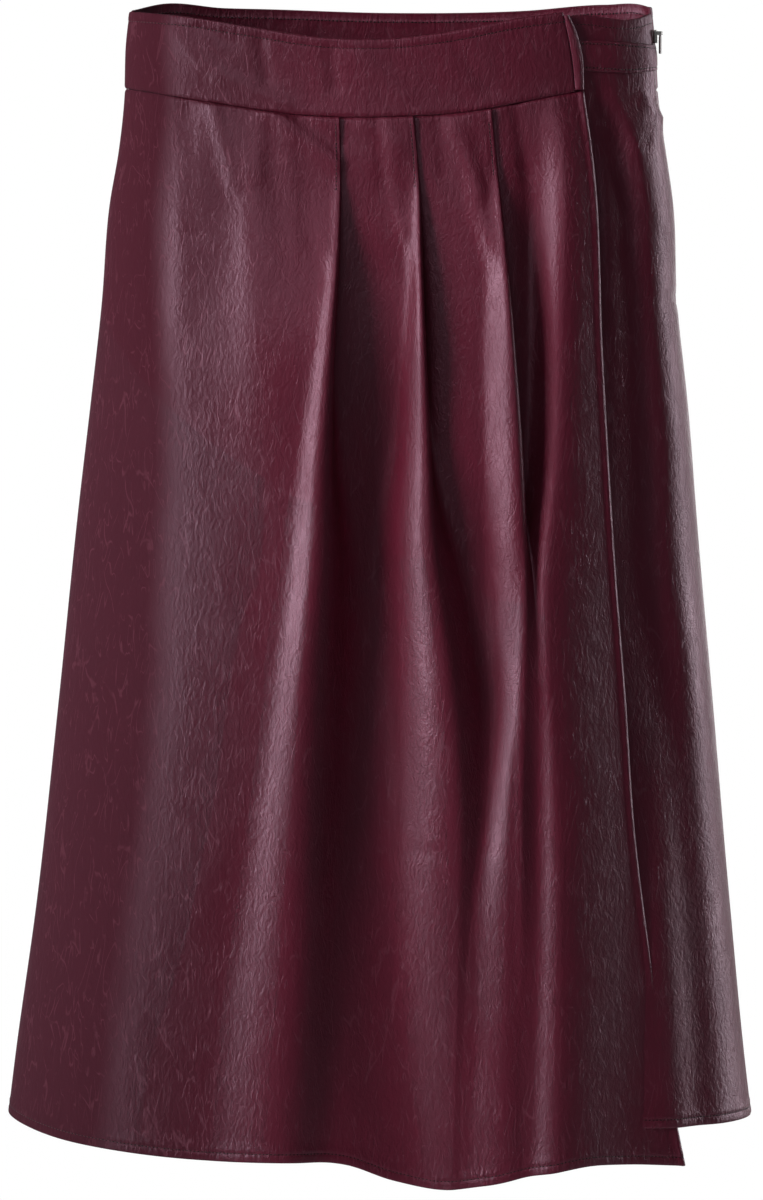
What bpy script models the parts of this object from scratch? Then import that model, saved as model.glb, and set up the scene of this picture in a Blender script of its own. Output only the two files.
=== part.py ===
"""A midi wrap skirt in coated leather, hollow, hanging from its waist as if it were worn.

Metres, +Z up, +X to the wearer's left as seen from the front, and -Y to the front. The origin is the
middle of the waist ring, halfway up the waistband. A depth is a distance below the origin. An angle
goes round the skirt from the middle of the front, and is positive towards +X.
"""

import math

import bpy
import numpy as np
from mathutils import Matrix, Vector

MM = 0.001

# Cloth
SEAM_GAP = 0.3 * MM
PANEL_WALL = 1.0 * MM
BAND_WALL = 1.6 * MM
STRAP_WALL = 1.2 * MM
TAPE_WALL = 0.6 * MM
BOXINESS = 2.3  # 2 would make the rings plain ellipses

# The wrap: the overlay lies over the underlay
LAYER_LIFT = 2.4 * MM
LIFT_STARTS = -175 * MM
LIFT_FULL = -20 * MM
BAND_LIFT = 1.3  # the waistband's lift as a share of the panel's
RISE_STARTS = -145 * MM  # where the cloth starts to rise to the first pleat

# Side seams, as angles from the middle of the front
RIGHT_SEAM = math.radians(83)
LEFT_SEAM = math.radians(-97)

# Rings of the skirt: half widths to each side of the middle, and the cloth's reach to front and back
SECTION_COLUMNS = ("depth", "left", "right", "front", "back")
SECTIONS = (
    (-0.035, 0.1705, 0.1690, 0.0430, 0.0410),
    (-0.005, 0.1742, 0.1722, 0.0440, 0.0420),
    (0.030, 0.1756, 0.1746, 0.0460, 0.0440),
    (0.065, 0.1794, 0.1795, 0.0500, 0.0490),
    (0.100, 0.1855, 0.1845, 0.0540, 0.0550),
    (0.165, 0.1910, 0.1870, 0.0610, 0.0620),
    (0.230, 0.1985, 0.1945, 0.0660, 0.0660),
    (0.300, 0.2070, 0.2005, 0.0700, 0.0700),
    (0.430, 0.2210, 0.2125, 0.0770, 0.0770),
    (0.565, 0.2365, 0.2250, 0.0830, 0.0840),
    (0.665, 0.2510, 0.2350, 0.0870, 0.0890),
    (0.745, 0.2610, 0.2450, 0.0900, 0.0930),
)

# Edges that run round the skirt: how deep each lies at a place from left to right
EDGE_COLUMNS = ("across", "depth")
FRONT_TOP = (
    (-0.172, -0.0257),
    (-0.128, -0.0209),
    (-0.092, -0.0148),
    (-0.046, -0.0078),
    (0.000, -0.0070),
    (0.034, -0.0110),
    (0.084, -0.0206),
    (0.112, -0.0245),
)
FRONT_SEAM = (
    (-0.176, 0.0243),
    (-0.111, 0.0349),
    (-0.060, 0.0422),
    (-0.034, 0.0435),
    (0.014, 0.0428),
    (0.054, 0.0396),
    (0.086, 0.0334),
    (0.124, 0.0262),
)
UNDERLAY_TOP = (
    (0.070, -0.0100),
    (0.100, -0.0180),
    (0.122, -0.0226),
    (0.142, -0.0206),
    (0.151, -0.0200),
    (0.159, -0.0209),
    (0.174, -0.0265),
)
BACK_TOP = (
    (-0.174, -0.0260),
    (-0.152, -0.0317),
    (-0.112, -0.0294),
    (-0.084, -0.0288),
    (0.000, -0.0264),
    (0.088, -0.0277),
    (0.141, -0.0313),
    (0.166, -0.0302),
    (0.174, -0.0265),
)
BACK_SEAM = (
    (-0.176, 0.0243),
    (0.000, 0.0220),
    (0.176, 0.0250),
)
OVERLAY_HEM = (
    (-0.258, 0.7045),
    (-0.230, 0.7110),
    (-0.175, 0.7185),
    (-0.120, 0.7220),
    (-0.060, 0.7215),
    (-0.030, 0.7250),
    (0.000, 0.7360),
    (0.035, 0.7415),
    (0.060, 0.7375),
    (0.090, 0.7300),
    (0.125, 0.7240),
    (0.150, 0.7255),
    (0.192, 0.7300),
)
UNDERLAY_HEM = (
    (0.080, 0.7000),
    (0.193, 0.7042),
    (0.240, 0.7058),
)
BACK_HEM = (
    (-0.258, 0.7040),
    (-0.150, 0.7100),
    (0.000, 0.7130),
    (0.150, 0.7100),
    (0.241, 0.7055),
)

# Edges that run down the skirt: how far across each lies at a depth
UPRIGHT_COLUMNS = ("depth", "across")
OVERLAY_EDGE = (
    (0.026, 0.1240),
    (0.084, 0.1300),
    (0.187, 0.1336),
    (0.263, 0.1380),
    (0.331, 0.1425),
    (0.418, 0.1498),
    (0.514, 0.1572),
    (0.593, 0.1680),
    (0.650, 0.1761),
    (0.730, 0.1917),
)
UNDERLAY_EDGE = (
    (-0.020, 0.0740),
    (0.200, 0.0860),
    (0.720, 0.0900),
)
BAND_END = (
    (-0.0250, 0.1098),
    (-0.0072, 0.1136),
    (0.0051, 0.1158),
    (0.0262, 0.1180),
)
LOOP_EDGE = (
    (-0.0222, 0.1137),
    (-0.0147, 0.1176),
    (-0.0067, 0.1204),
    (0.0025, 0.1226),
    (0.0262, 0.1238),
)

# Edge-stitched knife pleats: where the fold lies, how far the cloth turns in it, and how round it turns
PLEAT_COLUMNS = ("depth", "across", "turn", "radius", "tuck")
PLEATS = (
    (
        (0.040, -0.0342, 180, 0.0008, 0.012),
        (0.093, -0.0335, 180, 0.0008, 0.012),
        (0.130, -0.0353, 160, 0.0014, 0.012),
        (0.190, -0.0405, 118, 0.0030, 0.012),
        (0.290, -0.0505, 84, 0.0060, 0.012),
        (0.387, -0.0600, 62, 0.0100, 0.011),
        (0.484, -0.0695, 50, 0.0140, 0.010),
        (0.581, -0.0790, 40, 0.0180, 0.009),
        (0.740, -0.0900, 30, 0.0220, 0.008),
    ),
    (
        (0.040, 0.0135, 180, 0.0008, 0.012),
        (0.091, 0.0175, 180, 0.0008, 0.012),
        (0.130, 0.0187, 158, 0.0014, 0.012),
        (0.194, 0.0180, 116, 0.0030, 0.012),
        (0.290, 0.0205, 84, 0.0060, 0.012),
        (0.387, 0.0235, 62, 0.0100, 0.010),
        (0.484, 0.0235, 42, 0.0130, 0.009),
        (0.581, 0.0215, 27, 0.0160, 0.008),
        (0.740, 0.0190, 18, 0.0200, 0.007),
    ),
    (
        (0.038, 0.0637, 180, 0.0008, 0.012),
        (0.085, 0.0682, 180, 0.0008, 0.012),
        (0.129, 0.0727, 160, 0.0012, 0.012),
        (0.194, 0.0772, 125, 0.0022, 0.012),
        (0.290, 0.0821, 98, 0.0036, 0.012),
        (0.388, 0.0850, 78, 0.0070, 0.012),
        (0.484, 0.0752, 60, 0.0120, 0.011),
        (0.581, 0.0666, 46, 0.0170, 0.009),
        (0.740, 0.0590, 32, 0.0220, 0.008),
    ),
)

# Soft folds: the height of a ridge, or a hollow where it is below 0, and how wide each side of it is
FOLD_COLUMNS = ("depth", "across", "height", "left", "right")
OVERLAY_FOLDS = (
    (
        (0.030, -0.150, 0.000, 0.016, 0.016),
        (0.130, -0.153, 0.003, 0.014, 0.016),
        (0.290, -0.166, 0.005, 0.016, 0.018),
        (0.480, -0.190, 0.004, 0.018, 0.022),
        (0.740, -0.212, 0.005, 0.020, 0.026),
    ),
    (
        (0.030, -0.120, 0.000, 0.016, 0.014),
        (0.130, -0.106, 0.004, 0.018, 0.014),
        (0.290, -0.100, 0.006, 0.022, 0.018),
        (0.480, -0.120, 0.004, 0.026, 0.022),
        (0.740, -0.142, 0.006, 0.028, 0.026),
    ),
    (
        (0.030, 0.096, 0.000, 0.012, 0.010),
        (0.130, 0.1035, 0.005, 0.012, 0.011),
        (0.290, 0.100, 0.008, 0.012, 0.016),
        (0.480, 0.098, 0.010, 0.014, 0.022),
        (0.740, 0.104, 0.012, 0.018, 0.026),
    ),
)
UNDERLAY_FOLDS = (
    (
        (0.030, 0.156, 0.000, 0.008, 0.007),
        (0.110, 0.158, -0.004, 0.008, 0.007),
        (0.290, 0.170, -0.005, 0.009, 0.007),
        (0.480, 0.182, -0.005, 0.010, 0.008),
        (0.740, 0.212, -0.004, 0.010, 0.008),
    ),
)
BACK_FOLDS = (
    (
        (0.060, -0.120, 0.000, 0.020, 0.020),
        (0.300, -0.132, 0.005, 0.020, 0.024),
        (0.740, -0.168, 0.013, 0.022, 0.026),
    ),
    (
        (0.060, -0.045, 0.000, 0.022, 0.018),
        (0.300, -0.050, 0.006, 0.026, 0.020),
        (0.740, -0.072, 0.015, 0.028, 0.024),
    ),
    (
        (0.060, 0.030, 0.000, 0.020, 0.022),
        (0.300, 0.032, 0.004, 0.020, 0.024),
        (0.740, 0.030, 0.012, 0.024, 0.026),
    ),
    (
        (0.060, 0.110, 0.000, 0.018, 0.020),
        (0.300, 0.118, 0.006, 0.020, 0.024),
        (0.740, 0.140, 0.014, 0.024, 0.026),
    ),
)

# The strap on the underlay goes under the loop at the waistband's end
STRAP_TUCK = 2 * MM
STRAP_TOP = ((0.117, -0.0063), (0.134, -0.0062), (0.156, -0.0050), (0.172, -0.0038))
STRAP_FOOT = ((0.117, 0.0132), (0.139, 0.0141), (0.156, 0.0147), (0.172, 0.0126))
LOOP_TOP = ((0.110, -0.0225), (0.125, -0.0218))
LOOP_FOOT = ((0.110, 0.0262), (0.125, 0.0258))

# The zip in the right side seam
ZIP_TOP = ((0.160, -0.0190), (0.185, -0.0190))
ZIP_FOOT = ((0.160, 0.1550), (0.195, 0.1550))
TAPE_HALF_WIDTH = 11 * MM
SLIDER_DEPTH = -0.0096
SLIDER_WIDTH = 5.0 * MM
SLIDER_HEIGHT = 8.6 * MM
SLIDER_THICK = 2.0 * MM
PIN_ABOVE_MIDDLE = 2.2 * MM
PIN_STAND = 1.7 * MM  # from the slider's face out to the pin
PIN_RADIUS = 0.5 * MM
EAR_THICK = 0.8 * MM
EAR_HALF_HEIGHT = 1.2 * MM
EAR_ROOM = 3.0 * MM
KNUCKLE_RADIUS = 1.25 * MM
KNUCKLE_WIDTH = 2.4 * MM
BORE_RADIUS = 0.8 * MM
PULL_WIDTH = 4.2 * MM
PULL_THICK = 1.2 * MM
PULL_NECK = 2.3 * MM
PULL_LENGTH = 13.4 * MM

# Rows of the panels' grids, as shares of the way from the top edge to the hem
OVERLAY_ROWS = (
    0, 0.035, 0.07, 0.1, 0.13, 0.165, 0.2, 0.24, 0.28, 0.325, 0.37, 0.42,
    0.47, 0.52, 0.57, 0.62, 0.67, 0.72, 0.77, 0.82, 0.87, 0.915, 0.96, 1,
)
UNDERLAY_ROWS = (
    0, 0.04, 0.08, 0.11, 0.14, 0.17, 0.2, 0.24, 0.28, 0.33,
    0.38, 0.44, 0.5, 0.57, 0.64, 0.71, 0.78, 0.85, 0.92, 1,
)
BACK_ROWS = (0, 0.04, 0.08, 0.12, 0.16, 0.2, 0.25, 0.3, 0.37, 0.44, 0.52, 0.6, 0.7, 0.8, 0.9, 1)

# Colours as linear red, green, blue
BURGUNDY = (0.075, 0.017, 0.028, 1.0)
DARK_BURGUNDY = (0.045, 0.010, 0.017, 1.0)
GREY_METAL = (0.45, 0.44, 0.43, 1.0)


def curve(rows, columns, name, at):
    """A named column's value on a smooth curve through a table's rows, held level past its ends."""
    table = np.array(rows, float)
    knots = table[:, 0]
    values = table[:, columns.index(name)]
    slopes = np.gradient(values, knots)
    at = np.clip(at, knots[0], knots[-1])
    low = np.clip(np.searchsorted(knots, at, side="right") - 1, 0, len(knots) - 2)
    width = knots[low + 1] - knots[low]
    share = (at - knots[low]) / width
    return (
        values[low] * (1 + 2 * share) * (1 - share) ** 2
        + slopes[low] * width * share * (1 - share) ** 2
        + values[low + 1] * share**2 * (3 - 2 * share)
        + slopes[low + 1] * width * share**2 * (share - 1)
    )


def ease(share):
    """0 to 1 with a level start and end."""
    share = np.clip(share, 0, 1)
    return share * share * (3 - 2 * share)


def section(depth):
    """The middle, the half width and the reach to front and back of the ring at each depth."""
    left = curve(SECTIONS, SECTION_COLUMNS, "left", depth)
    right = curve(SECTIONS, SECTION_COLUMNS, "right", depth)
    front = curve(SECTIONS, SECTION_COLUMNS, "front", depth)
    back = curve(SECTIONS, SECTION_COLUMNS, "back", depth)
    return (right - left) / 2, (left + right) / 2, front, back


def ring(angle, depth):
    """Where the ring at each depth crosses an angle, as distances across and back."""
    middle, half, front, back = section(depth)
    sine, cosine = np.sin(angle), np.cos(angle)
    reach = (np.abs(sine) ** BOXINESS + np.abs(cosine) ** BOXINESS) ** (-1 / BOXINESS)
    return middle + half * sine * reach, -np.where(cosine > 0, front, back) * cosine * reach


def front_angle(across, depth):
    """The angle of the place on the front that lies this far across."""
    middle, half, _, _ = section(depth)
    sine = np.clip((across - middle) / half, -0.999, 0.999)
    cosine = (1 - np.abs(sine) ** BOXINESS) ** (1 / BOXINESS)
    return np.arctan2(sine, cosine)


def ring_speed(angle, depth):
    """Metres of cloth for each radian round the ring."""
    step = 1e-3
    x0, y0 = ring(angle - step, depth)
    x1, y1 = ring(angle + step, depth)
    return np.hypot(x1 - x0, y1 - y0) / (2 * step)


def place(angle, depth, lift):
    """Points at an angle and a depth, lifted off the ring to the outside."""
    step = 1e-3
    x, y = ring(angle, depth)
    x0, y0 = ring(angle - step, depth)
    x1, y1 = ring(angle + step, depth)
    length = np.hypot(x1 - x0, y1 - y0)
    out_x = (y1 - y0) / length
    out_y = -(x1 - x0) / length
    return np.stack([x + out_x * lift, y + out_y * lift, -depth + 0 * x], axis=-1)


def folds(table, across, depth):
    """How far a list of soft folds lifts the cloth at each place."""
    lift = 0 * (across + depth)
    for rows in table:
        offset = across - curve(rows, FOLD_COLUMNS, "across", depth)
        left = curve(rows, FOLD_COLUMNS, "left", depth)
        right = curve(rows, FOLD_COLUMNS, "right", depth)
        width = np.where(offset < 0, left, right)
        lift = lift + curve(rows, FOLD_COLUMNS, "height", depth) * np.exp(-((offset / width) ** 2))
    return lift


def pleat_values(index, depth):
    """A pleat's place across, turn in radians, radius and tuck at each depth."""
    rows = PLEATS[index]
    across = curve(rows, PLEAT_COLUMNS, "across", depth)
    turn = np.radians(np.minimum(curve(rows, PLEAT_COLUMNS, "turn", depth), 180))
    radius = curve(rows, PLEAT_COLUMNS, "radius", depth)
    tuck = curve(rows, PLEAT_COLUMNS, "tuck", depth)
    return across, turn, radius, tuck


def pleat_path(turn, radius, tuck, share):
    """Travel sideways and outwards through a pleat: it turns under, runs back, and turns again."""
    first = turn * np.clip(share * 3, 0, 1)
    run = tuck * np.clip(share * 3 - 1, 0, 1)
    last = turn * np.clip(share * 3 - 2, 0, 1)
    side = radius * np.sin(first) + run * np.cos(turn)
    out = -radius * (1 - np.cos(first)) - run * np.sin(turn)
    side = side + radius * (np.sin(turn) - np.sin(turn - last))
    out = out - radius * (np.cos(turn - last) - np.cos(turn))
    return side, out


def pleat_angle(index, depth, share):
    """The angle of a place in a pleat, and its height over the valley behind the pleat."""
    across, turn, radius, tuck = pleat_values(index, depth)
    start = front_angle(across - radius * np.sin(np.minimum(turn, math.pi / 2)), depth)
    side, out = pleat_path(turn, radius, tuck, share)
    drop = pleat_path(turn, radius, tuck, 1.0)[1]
    return start + side / ring_speed(start, depth), out - drop


def tuck_angle(index, depth):
    """The angle that a pleat's tuck takes up beneath the cloth on its left."""
    _, turn, radius, tuck = pleat_values(index, depth)
    reach = np.maximum(-(tuck + 2 * radius) * np.cos(turn), 0)
    return reach / ring_speed(pleat_angle(index, depth, 0.0)[0], depth)


def overlay_angle(station, depth):
    """The angle and height of a station: 0 to 1 is the first stretch, 1 to 2 the first pleat, and so on."""
    stretch = min(int(station), 2 * len(PLEATS))
    share = station - stretch
    if stretch % 2 == 1:
        return pleat_angle(stretch // 2, depth, share)
    if stretch == 0:
        start = seam_angle(LEFT_SEAM, SEAM_GAP / 2)(depth)
        low_until = front_angle(RISE_STARTS, depth)
    else:
        start = pleat_angle(stretch // 2 - 1, depth, 1.0)[0]
        low_until = start + tuck_angle(stretch // 2 - 1, depth)
    if stretch == 2 * len(PLEATS):
        end = upright(OVERLAY_EDGE)(depth)
        return start + (end - start) * share, 0 * depth
    end, high = pleat_angle(stretch // 2, depth, 0.0)
    high_from = end - tuck_angle(stretch // 2, depth)
    angle = start + (end - start) * share
    return angle, high * ease((angle - low_until) / (high_from - low_until))


def layer_lift(across):
    """How far the wrap stands off the ring, so that it clears the underlay."""
    return LAYER_LIFT * ease((across - LIFT_STARTS) / (LIFT_FULL - LIFT_STARTS))


def overlay_point(station, depth):
    """Points of the pleated wrap front at a station and some depths."""
    angle, height = overlay_angle(station, depth)
    across = ring(angle, depth)[0]
    return place(angle, depth, height + layer_lift(across) + folds(OVERLAY_FOLDS, across, depth))


def edge_depth(rows, move, across_at):
    """How deep an edge crosses a line down the skirt, whose place across is known at each depth."""
    depth = rows[0][1]
    for _ in range(4):
        depth = curve(rows, EDGE_COLUMNS, "depth", across_at(depth)) + move
    return depth


def column_depths(top, foot, across_at, shares):
    """Depths down one column of a grid, from its top edge to its foot."""
    start = edge_depth(*top, across_at)
    end = edge_depth(*foot, across_at)
    return start + (end - start) * np.array(shares)


def overlay_grid(stations, shares):
    """The wrap front's grid, a column for each station and a row for each share of the way down."""
    columns = []
    for station in stations:
        depth = column_depths(
            (FRONT_SEAM, SEAM_GAP / 2),
            (OVERLAY_HEM, 0),
            lambda depth: overlay_point(station, np.array([depth]))[0, 0],
            shares,
        )
        columns.append(overlay_point(station, depth))
    return np.stack(columns, axis=1)


def strip_grid(starts, ends, top, foot, shares, count, lift):
    """A grid between two upright edges, which are given as angles at each depth."""
    columns = []
    for share in np.linspace(0, 1, count + 1):

        def angle_at(depth):
            return starts(depth) * (1 - share) + ends(depth) * share

        depth = column_depths(top, foot, lambda depth: ring(angle_at(depth), depth)[0], shares)
        angle = angle_at(depth)
        columns.append(place(angle, depth, lift(ring(angle, depth)[0], depth)))
    return np.stack(columns, axis=1)


def upright(rows, move=0.0):
    """A front edge that runs down, as an angle at each depth, moved a little across."""
    return lambda depth: front_angle(curve(rows, UPRIGHT_COLUMNS, "across", depth) + move, depth)


def seam_angle(angle, move):
    """A side seam as an angle at each depth, moved a little round the ring."""
    return lambda depth: angle + move / ring_speed(angle, depth)


def material(name, colour, roughness, metallic):
    made = bpy.data.materials.new(name)
    made.use_nodes = True
    shader = made.node_tree.nodes["Principled BSDF"]
    shader.inputs["Base Color"].default_value = colour
    shader.inputs["Roughness"].default_value = roughness
    shader.inputs["Metallic"].default_value = metallic
    made.diffuse_color = colour
    return made


def add_mesh(name, points, faces, finish):
    mesh = bpy.data.meshes.new(name)
    mesh.from_pydata([tuple(map(float, point)) for point in points], [], faces)
    mesh.materials.append(finish)
    made = bpy.data.objects.new(name, mesh)
    bpy.context.scene.collection.objects.link(made)
    return made


def add_cloth(name, grid, wall, finish):
    """A sheet through a grid of points, made a closed wall."""
    rows, columns = grid.shape[:2]
    faces = []
    for row in range(rows - 1):
        for column in range(columns - 1):
            corner = row * columns + column
            faces.append((corner, corner + columns, corner + columns + 1, corner + 1))
    made = add_mesh(name, grid.reshape(-1, 3), faces, finish)
    made.data.shade_smooth()
    solidify = made.modifiers.new("Wall", "SOLIDIFY")
    solidify.thickness = wall
    solidify.offset = 0
    solidify.use_even_offset = True
    return made


def overlay_stations(stretch_counts, pleat_count):
    """Stations along the wrap front: a count for each flat stretch and one for each pleat."""
    stations = []
    for index, count in enumerate(stretch_counts):
        stations += [2 * index + step / count for step in range(count)]
        if index < len(PLEATS):
            stations += [2 * index + 1 + step / pleat_count for step in range(pleat_count)]
    return stations + [2 * len(PLEATS) + 1 - 1e-9]


def add_overlay(finish):
    stations = overlay_stations((15, 7, 7, 9), 9)
    add_cloth("overlay_panel", overlay_grid(stations, OVERLAY_ROWS), PANEL_WALL, finish)


def add_underlay(finish):
    grid = strip_grid(
        upright(UNDERLAY_EDGE),
        seam_angle(RIGHT_SEAM, -SEAM_GAP / 2),
        (UNDERLAY_TOP, 0),
        (UNDERLAY_HEM, 0),
        UNDERLAY_ROWS,
        20,
        lambda across, depth: folds(UNDERLAY_FOLDS, across, depth),
    )
    add_cloth("underlay_panel", grid, PANEL_WALL, finish)


def add_back(finish):
    grid = strip_grid(
        seam_angle(RIGHT_SEAM, SEAM_GAP / 2),
        seam_angle(LEFT_SEAM + 2 * math.pi, -SEAM_GAP / 2),
        (BACK_SEAM, SEAM_GAP / 2),
        (BACK_HEM, 0),
        BACK_ROWS,
        34,
        lambda across, depth: folds(BACK_FOLDS, across, depth),
    )
    add_cloth("back_panel", grid, PANEL_WALL, finish)


def add_bands(finish):
    front = strip_grid(
        seam_angle(LEFT_SEAM, SEAM_GAP / 2),
        upright(BAND_END),
        (FRONT_TOP, 0),
        (FRONT_SEAM, -SEAM_GAP / 2),
        np.linspace(0, 1, 5),
        34,
        lambda across, depth: layer_lift(across) * BAND_LIFT,
    )
    add_cloth("front_waistband", front, BAND_WALL, finish)
    back = strip_grid(
        seam_angle(RIGHT_SEAM, SEAM_GAP / 2),
        seam_angle(LEFT_SEAM + 2 * math.pi, -SEAM_GAP / 2),
        (BACK_TOP, 0),
        (BACK_SEAM, -SEAM_GAP / 2),
        np.linspace(0, 1, 4),
        34,
        lambda across, depth: 0 * across,
    )
    add_cloth("back_waistband", back, BAND_WALL, finish)


def add_strap_and_loop(finish):
    strap_lift = PANEL_WALL / 2 + SEAM_GAP + STRAP_WALL / 2
    strap = strip_grid(
        upright(BAND_END, STRAP_TUCK),
        seam_angle(RIGHT_SEAM, -SEAM_GAP),
        (STRAP_TOP, 0),
        (STRAP_FOOT, 0),
        (0, 0.5, 1),
        14,
        lambda across, depth: strap_lift + 0 * across,
    )
    add_cloth("waist_strap", strap, STRAP_WALL, finish)
    loop_lift = strap_lift + STRAP_WALL + SEAM_GAP
    loop = strip_grid(
        upright(BAND_END, SEAM_GAP),
        upright(LOOP_EDGE),
        (LOOP_TOP, 0),
        (LOOP_FOOT, 0),
        np.linspace(0, 1, 9),
        3,
        lambda across, depth: loop_lift + 0 * across,
    )
    add_cloth("strap_loop", loop, STRAP_WALL, finish)


def add_zip_tape(finish):
    lift = -(BAND_WALL / 2 + 2 * SEAM_GAP + TAPE_WALL / 2)
    tape = strip_grid(
        seam_angle(RIGHT_SEAM, -TAPE_HALF_WIDTH),
        seam_angle(RIGHT_SEAM, TAPE_HALF_WIDTH),
        (ZIP_TOP, 0),
        (ZIP_FOOT, 0),
        np.linspace(0, 1, 12),
        8,
        lambda across, depth: lift + 0 * across,
    )
    add_cloth("zip_tape", tape, TAPE_WALL, finish)


def slider_frame():
    """The slider's place: its face on the side seam, Y outwards and X along the waist."""
    depth = np.array([SLIDER_DEPTH])
    angle = np.array([RIGHT_SEAM])
    near = place(angle, depth, np.array([BAND_WALL / 2 + SEAM_GAP]))[0]
    far = place(angle, depth, np.array([1.0]))[0]
    out = Vector(far - near).normalized()
    along = out.cross(Vector((0, 0, 1)))
    turn = Matrix((along, out, (0, 0, 1))).transposed().to_4x4()
    return Matrix.Translation(Vector(near)) @ turn


def add_box(name, size, centre, parent, finish):
    x, y, z = (side / 2 for side in size)
    points = [(i * x, j * y, k * z) for i in (-1, 1) for j in (-1, 1) for k in (-1, 1)]
    faces = [(0, 1, 3, 2), (4, 6, 7, 5), (0, 4, 5, 1), (2, 3, 7, 6), (0, 2, 6, 4), (1, 5, 7, 3)]
    made = add_mesh(name, points, faces, finish)
    made.location = centre
    made.parent = parent
    return made


def add_rod(name, radius, length, centre, parent, finish, sides=16):
    """A rod along X."""
    points = []
    for end in (-length / 2, length / 2):
        for step in range(sides):
            turn = 2 * math.pi * step / sides
            points.append((end, radius * math.cos(turn), radius * math.sin(turn)))
    faces = [tuple(reversed(range(sides))), tuple(range(sides, 2 * sides))]
    for step in range(sides):
        after = (step + 1) % sides
        faces.append((step, after, after + sides, step + sides))
    made = add_mesh(name, points, faces, finish)
    made.location = centre
    made.parent = parent
    return made


def combine(target, helper, operation):
    helper.hide_render = True
    helper.display_type = "WIRE"
    boolean = target.modifiers.new(helper.name, "BOOLEAN")
    boolean.operation = operation
    boolean.object = helper


def round_edges(target, width):
    bevel = target.modifiers.new("Rounding", "BEVEL")
    bevel.width = width
    bevel.segments = 2
    bevel.limit_method = "ANGLE"


def add_slider(frame, finish):
    body = add_box(
        "zip_slider",
        (SLIDER_WIDTH, SLIDER_THICK, SLIDER_HEIGHT),
        (0, SLIDER_THICK / 2, 0),
        frame,
        finish,
    )
    round_edges(body, 0.5 * MM)
    ear_middle = (EAR_ROOM + EAR_THICK) / 2
    ear_reach = PIN_STAND + EAR_HALF_HEIGHT + 0.2 * MM
    for side, name in ((-1, "ear_left"), (1, "ear_right")):
        ear = add_box(
            name,
            (EAR_THICK, ear_reach, 2 * EAR_HALF_HEIGHT),
            (side * ear_middle, SLIDER_THICK + ear_reach / 2 - 0.2 * MM, PIN_ABOVE_MIDDLE),
            frame,
            finish,
        )
        combine(body, ear, "UNION")
    pin = add_rod(
        "pin",
        PIN_RADIUS,
        EAR_ROOM + EAR_THICK,
        (0, SLIDER_THICK + PIN_STAND, PIN_ABOVE_MIDDLE),
        frame,
        finish,
    )
    combine(body, pin, "UNION")


def add_pull(frame, finish):
    """The pull tab hangs on the slider's pin, and its origin is on the pin's axis."""
    axis = bpy.data.objects.new("zip_pull_axis", None)
    axis.location = (0, SLIDER_THICK + PIN_STAND, PIN_ABOVE_MIDDLE)
    axis.parent = frame
    bpy.context.scene.collection.objects.link(axis)
    plate_height = PULL_LENGTH - PULL_NECK
    plate = add_box(
        "zip_pull",
        (PULL_WIDTH, PULL_THICK, plate_height),
        (0, 0, 0),
        axis,
        finish,
    )
    for vertex in plate.data.vertices:
        vertex.co.z -= PULL_NECK + plate_height / 2
    round_edges(plate, 0.35 * MM)
    neck_height = PULL_NECK + 0.8 * MM
    neck = add_box(
        "pull_neck",
        (KNUCKLE_WIDTH, PULL_THICK, neck_height),
        (0, 0, -neck_height / 2),
        axis,
        finish,
    )
    combine(plate, neck, "UNION")
    knuckle = add_rod("pull_knuckle", KNUCKLE_RADIUS, KNUCKLE_WIDTH, (0, 0, 0), axis, finish)
    combine(plate, knuckle, "UNION")
    bore = add_rod("pull_bore", BORE_RADIUS, 2 * KNUCKLE_WIDTH, (0, 0, 0), axis, finish)
    combine(plate, bore, "DIFFERENCE")


def main():
    for old in list(bpy.data.objects):
        bpy.data.objects.remove(old)
    add_overlay(material("overlay_leather", BURGUNDY, 0.35, 0))
    add_underlay(material("underlay_leather", BURGUNDY, 0.35, 0))
    add_back(material("back_leather", BURGUNDY, 0.35, 0))
    add_bands(material("waistband_leather", BURGUNDY, 0.35, 0))
    add_strap_and_loop(material("strap_leather", BURGUNDY, 0.35, 0))
    add_zip_tape(material("zip_tape_fabric", DARK_BURGUNDY, 0.8, 0))
    frame = bpy.data.objects.new("zip_frame", None)
    frame.matrix_world = slider_frame()
    bpy.context.scene.collection.objects.link(frame)
    add_slider(frame, material("slider_metal", GREY_METAL, 0.3, 1))
    add_pull(frame, material("pull_paint", BURGUNDY, 0.4, 0))


if __name__ == "__main__":
    main()
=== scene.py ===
"""The looks of a midi wrap skirt in coated leather: its cloth, stitching, side zip and studio.

Metres, +Z up, -Y to the pleated front, +X to the side with the zip. The origin is the middle of the
waist ring. A depth is a distance below the origin. An angle goes round the skirt from the middle of
the front, and is positive towards +X. The cloth has the solids' rings, edges and stitched pleat tops.
Lower down, the wrap's pleats and the front's soft folds have tables of their own, and lie up to 30 mm
from where the solids have them.
"""

import math
from itertools import product

import bpy
import numpy as np
from bpy.props import FloatProperty, FloatVectorProperty, PointerProperty
from bpy.types import Operator, Panel, PropertyGroup, Scene
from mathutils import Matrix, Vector


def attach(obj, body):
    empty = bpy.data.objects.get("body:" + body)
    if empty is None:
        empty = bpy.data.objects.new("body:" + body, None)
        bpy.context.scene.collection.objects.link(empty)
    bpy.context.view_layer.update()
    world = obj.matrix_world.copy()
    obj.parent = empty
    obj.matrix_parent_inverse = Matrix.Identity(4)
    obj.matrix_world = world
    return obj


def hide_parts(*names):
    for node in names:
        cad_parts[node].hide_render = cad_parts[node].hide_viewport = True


bl_info = {
    "name": "Wrap Skirt Looks",
    "version": (1, 0, 0),
    "blender": (4, 5, 0),
    "location": "3D View > Sidebar > Skirt",
    "description": "Coated leather, stitching, side zip and studio for a wrap skirt",
    "category": "Object",
}

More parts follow.
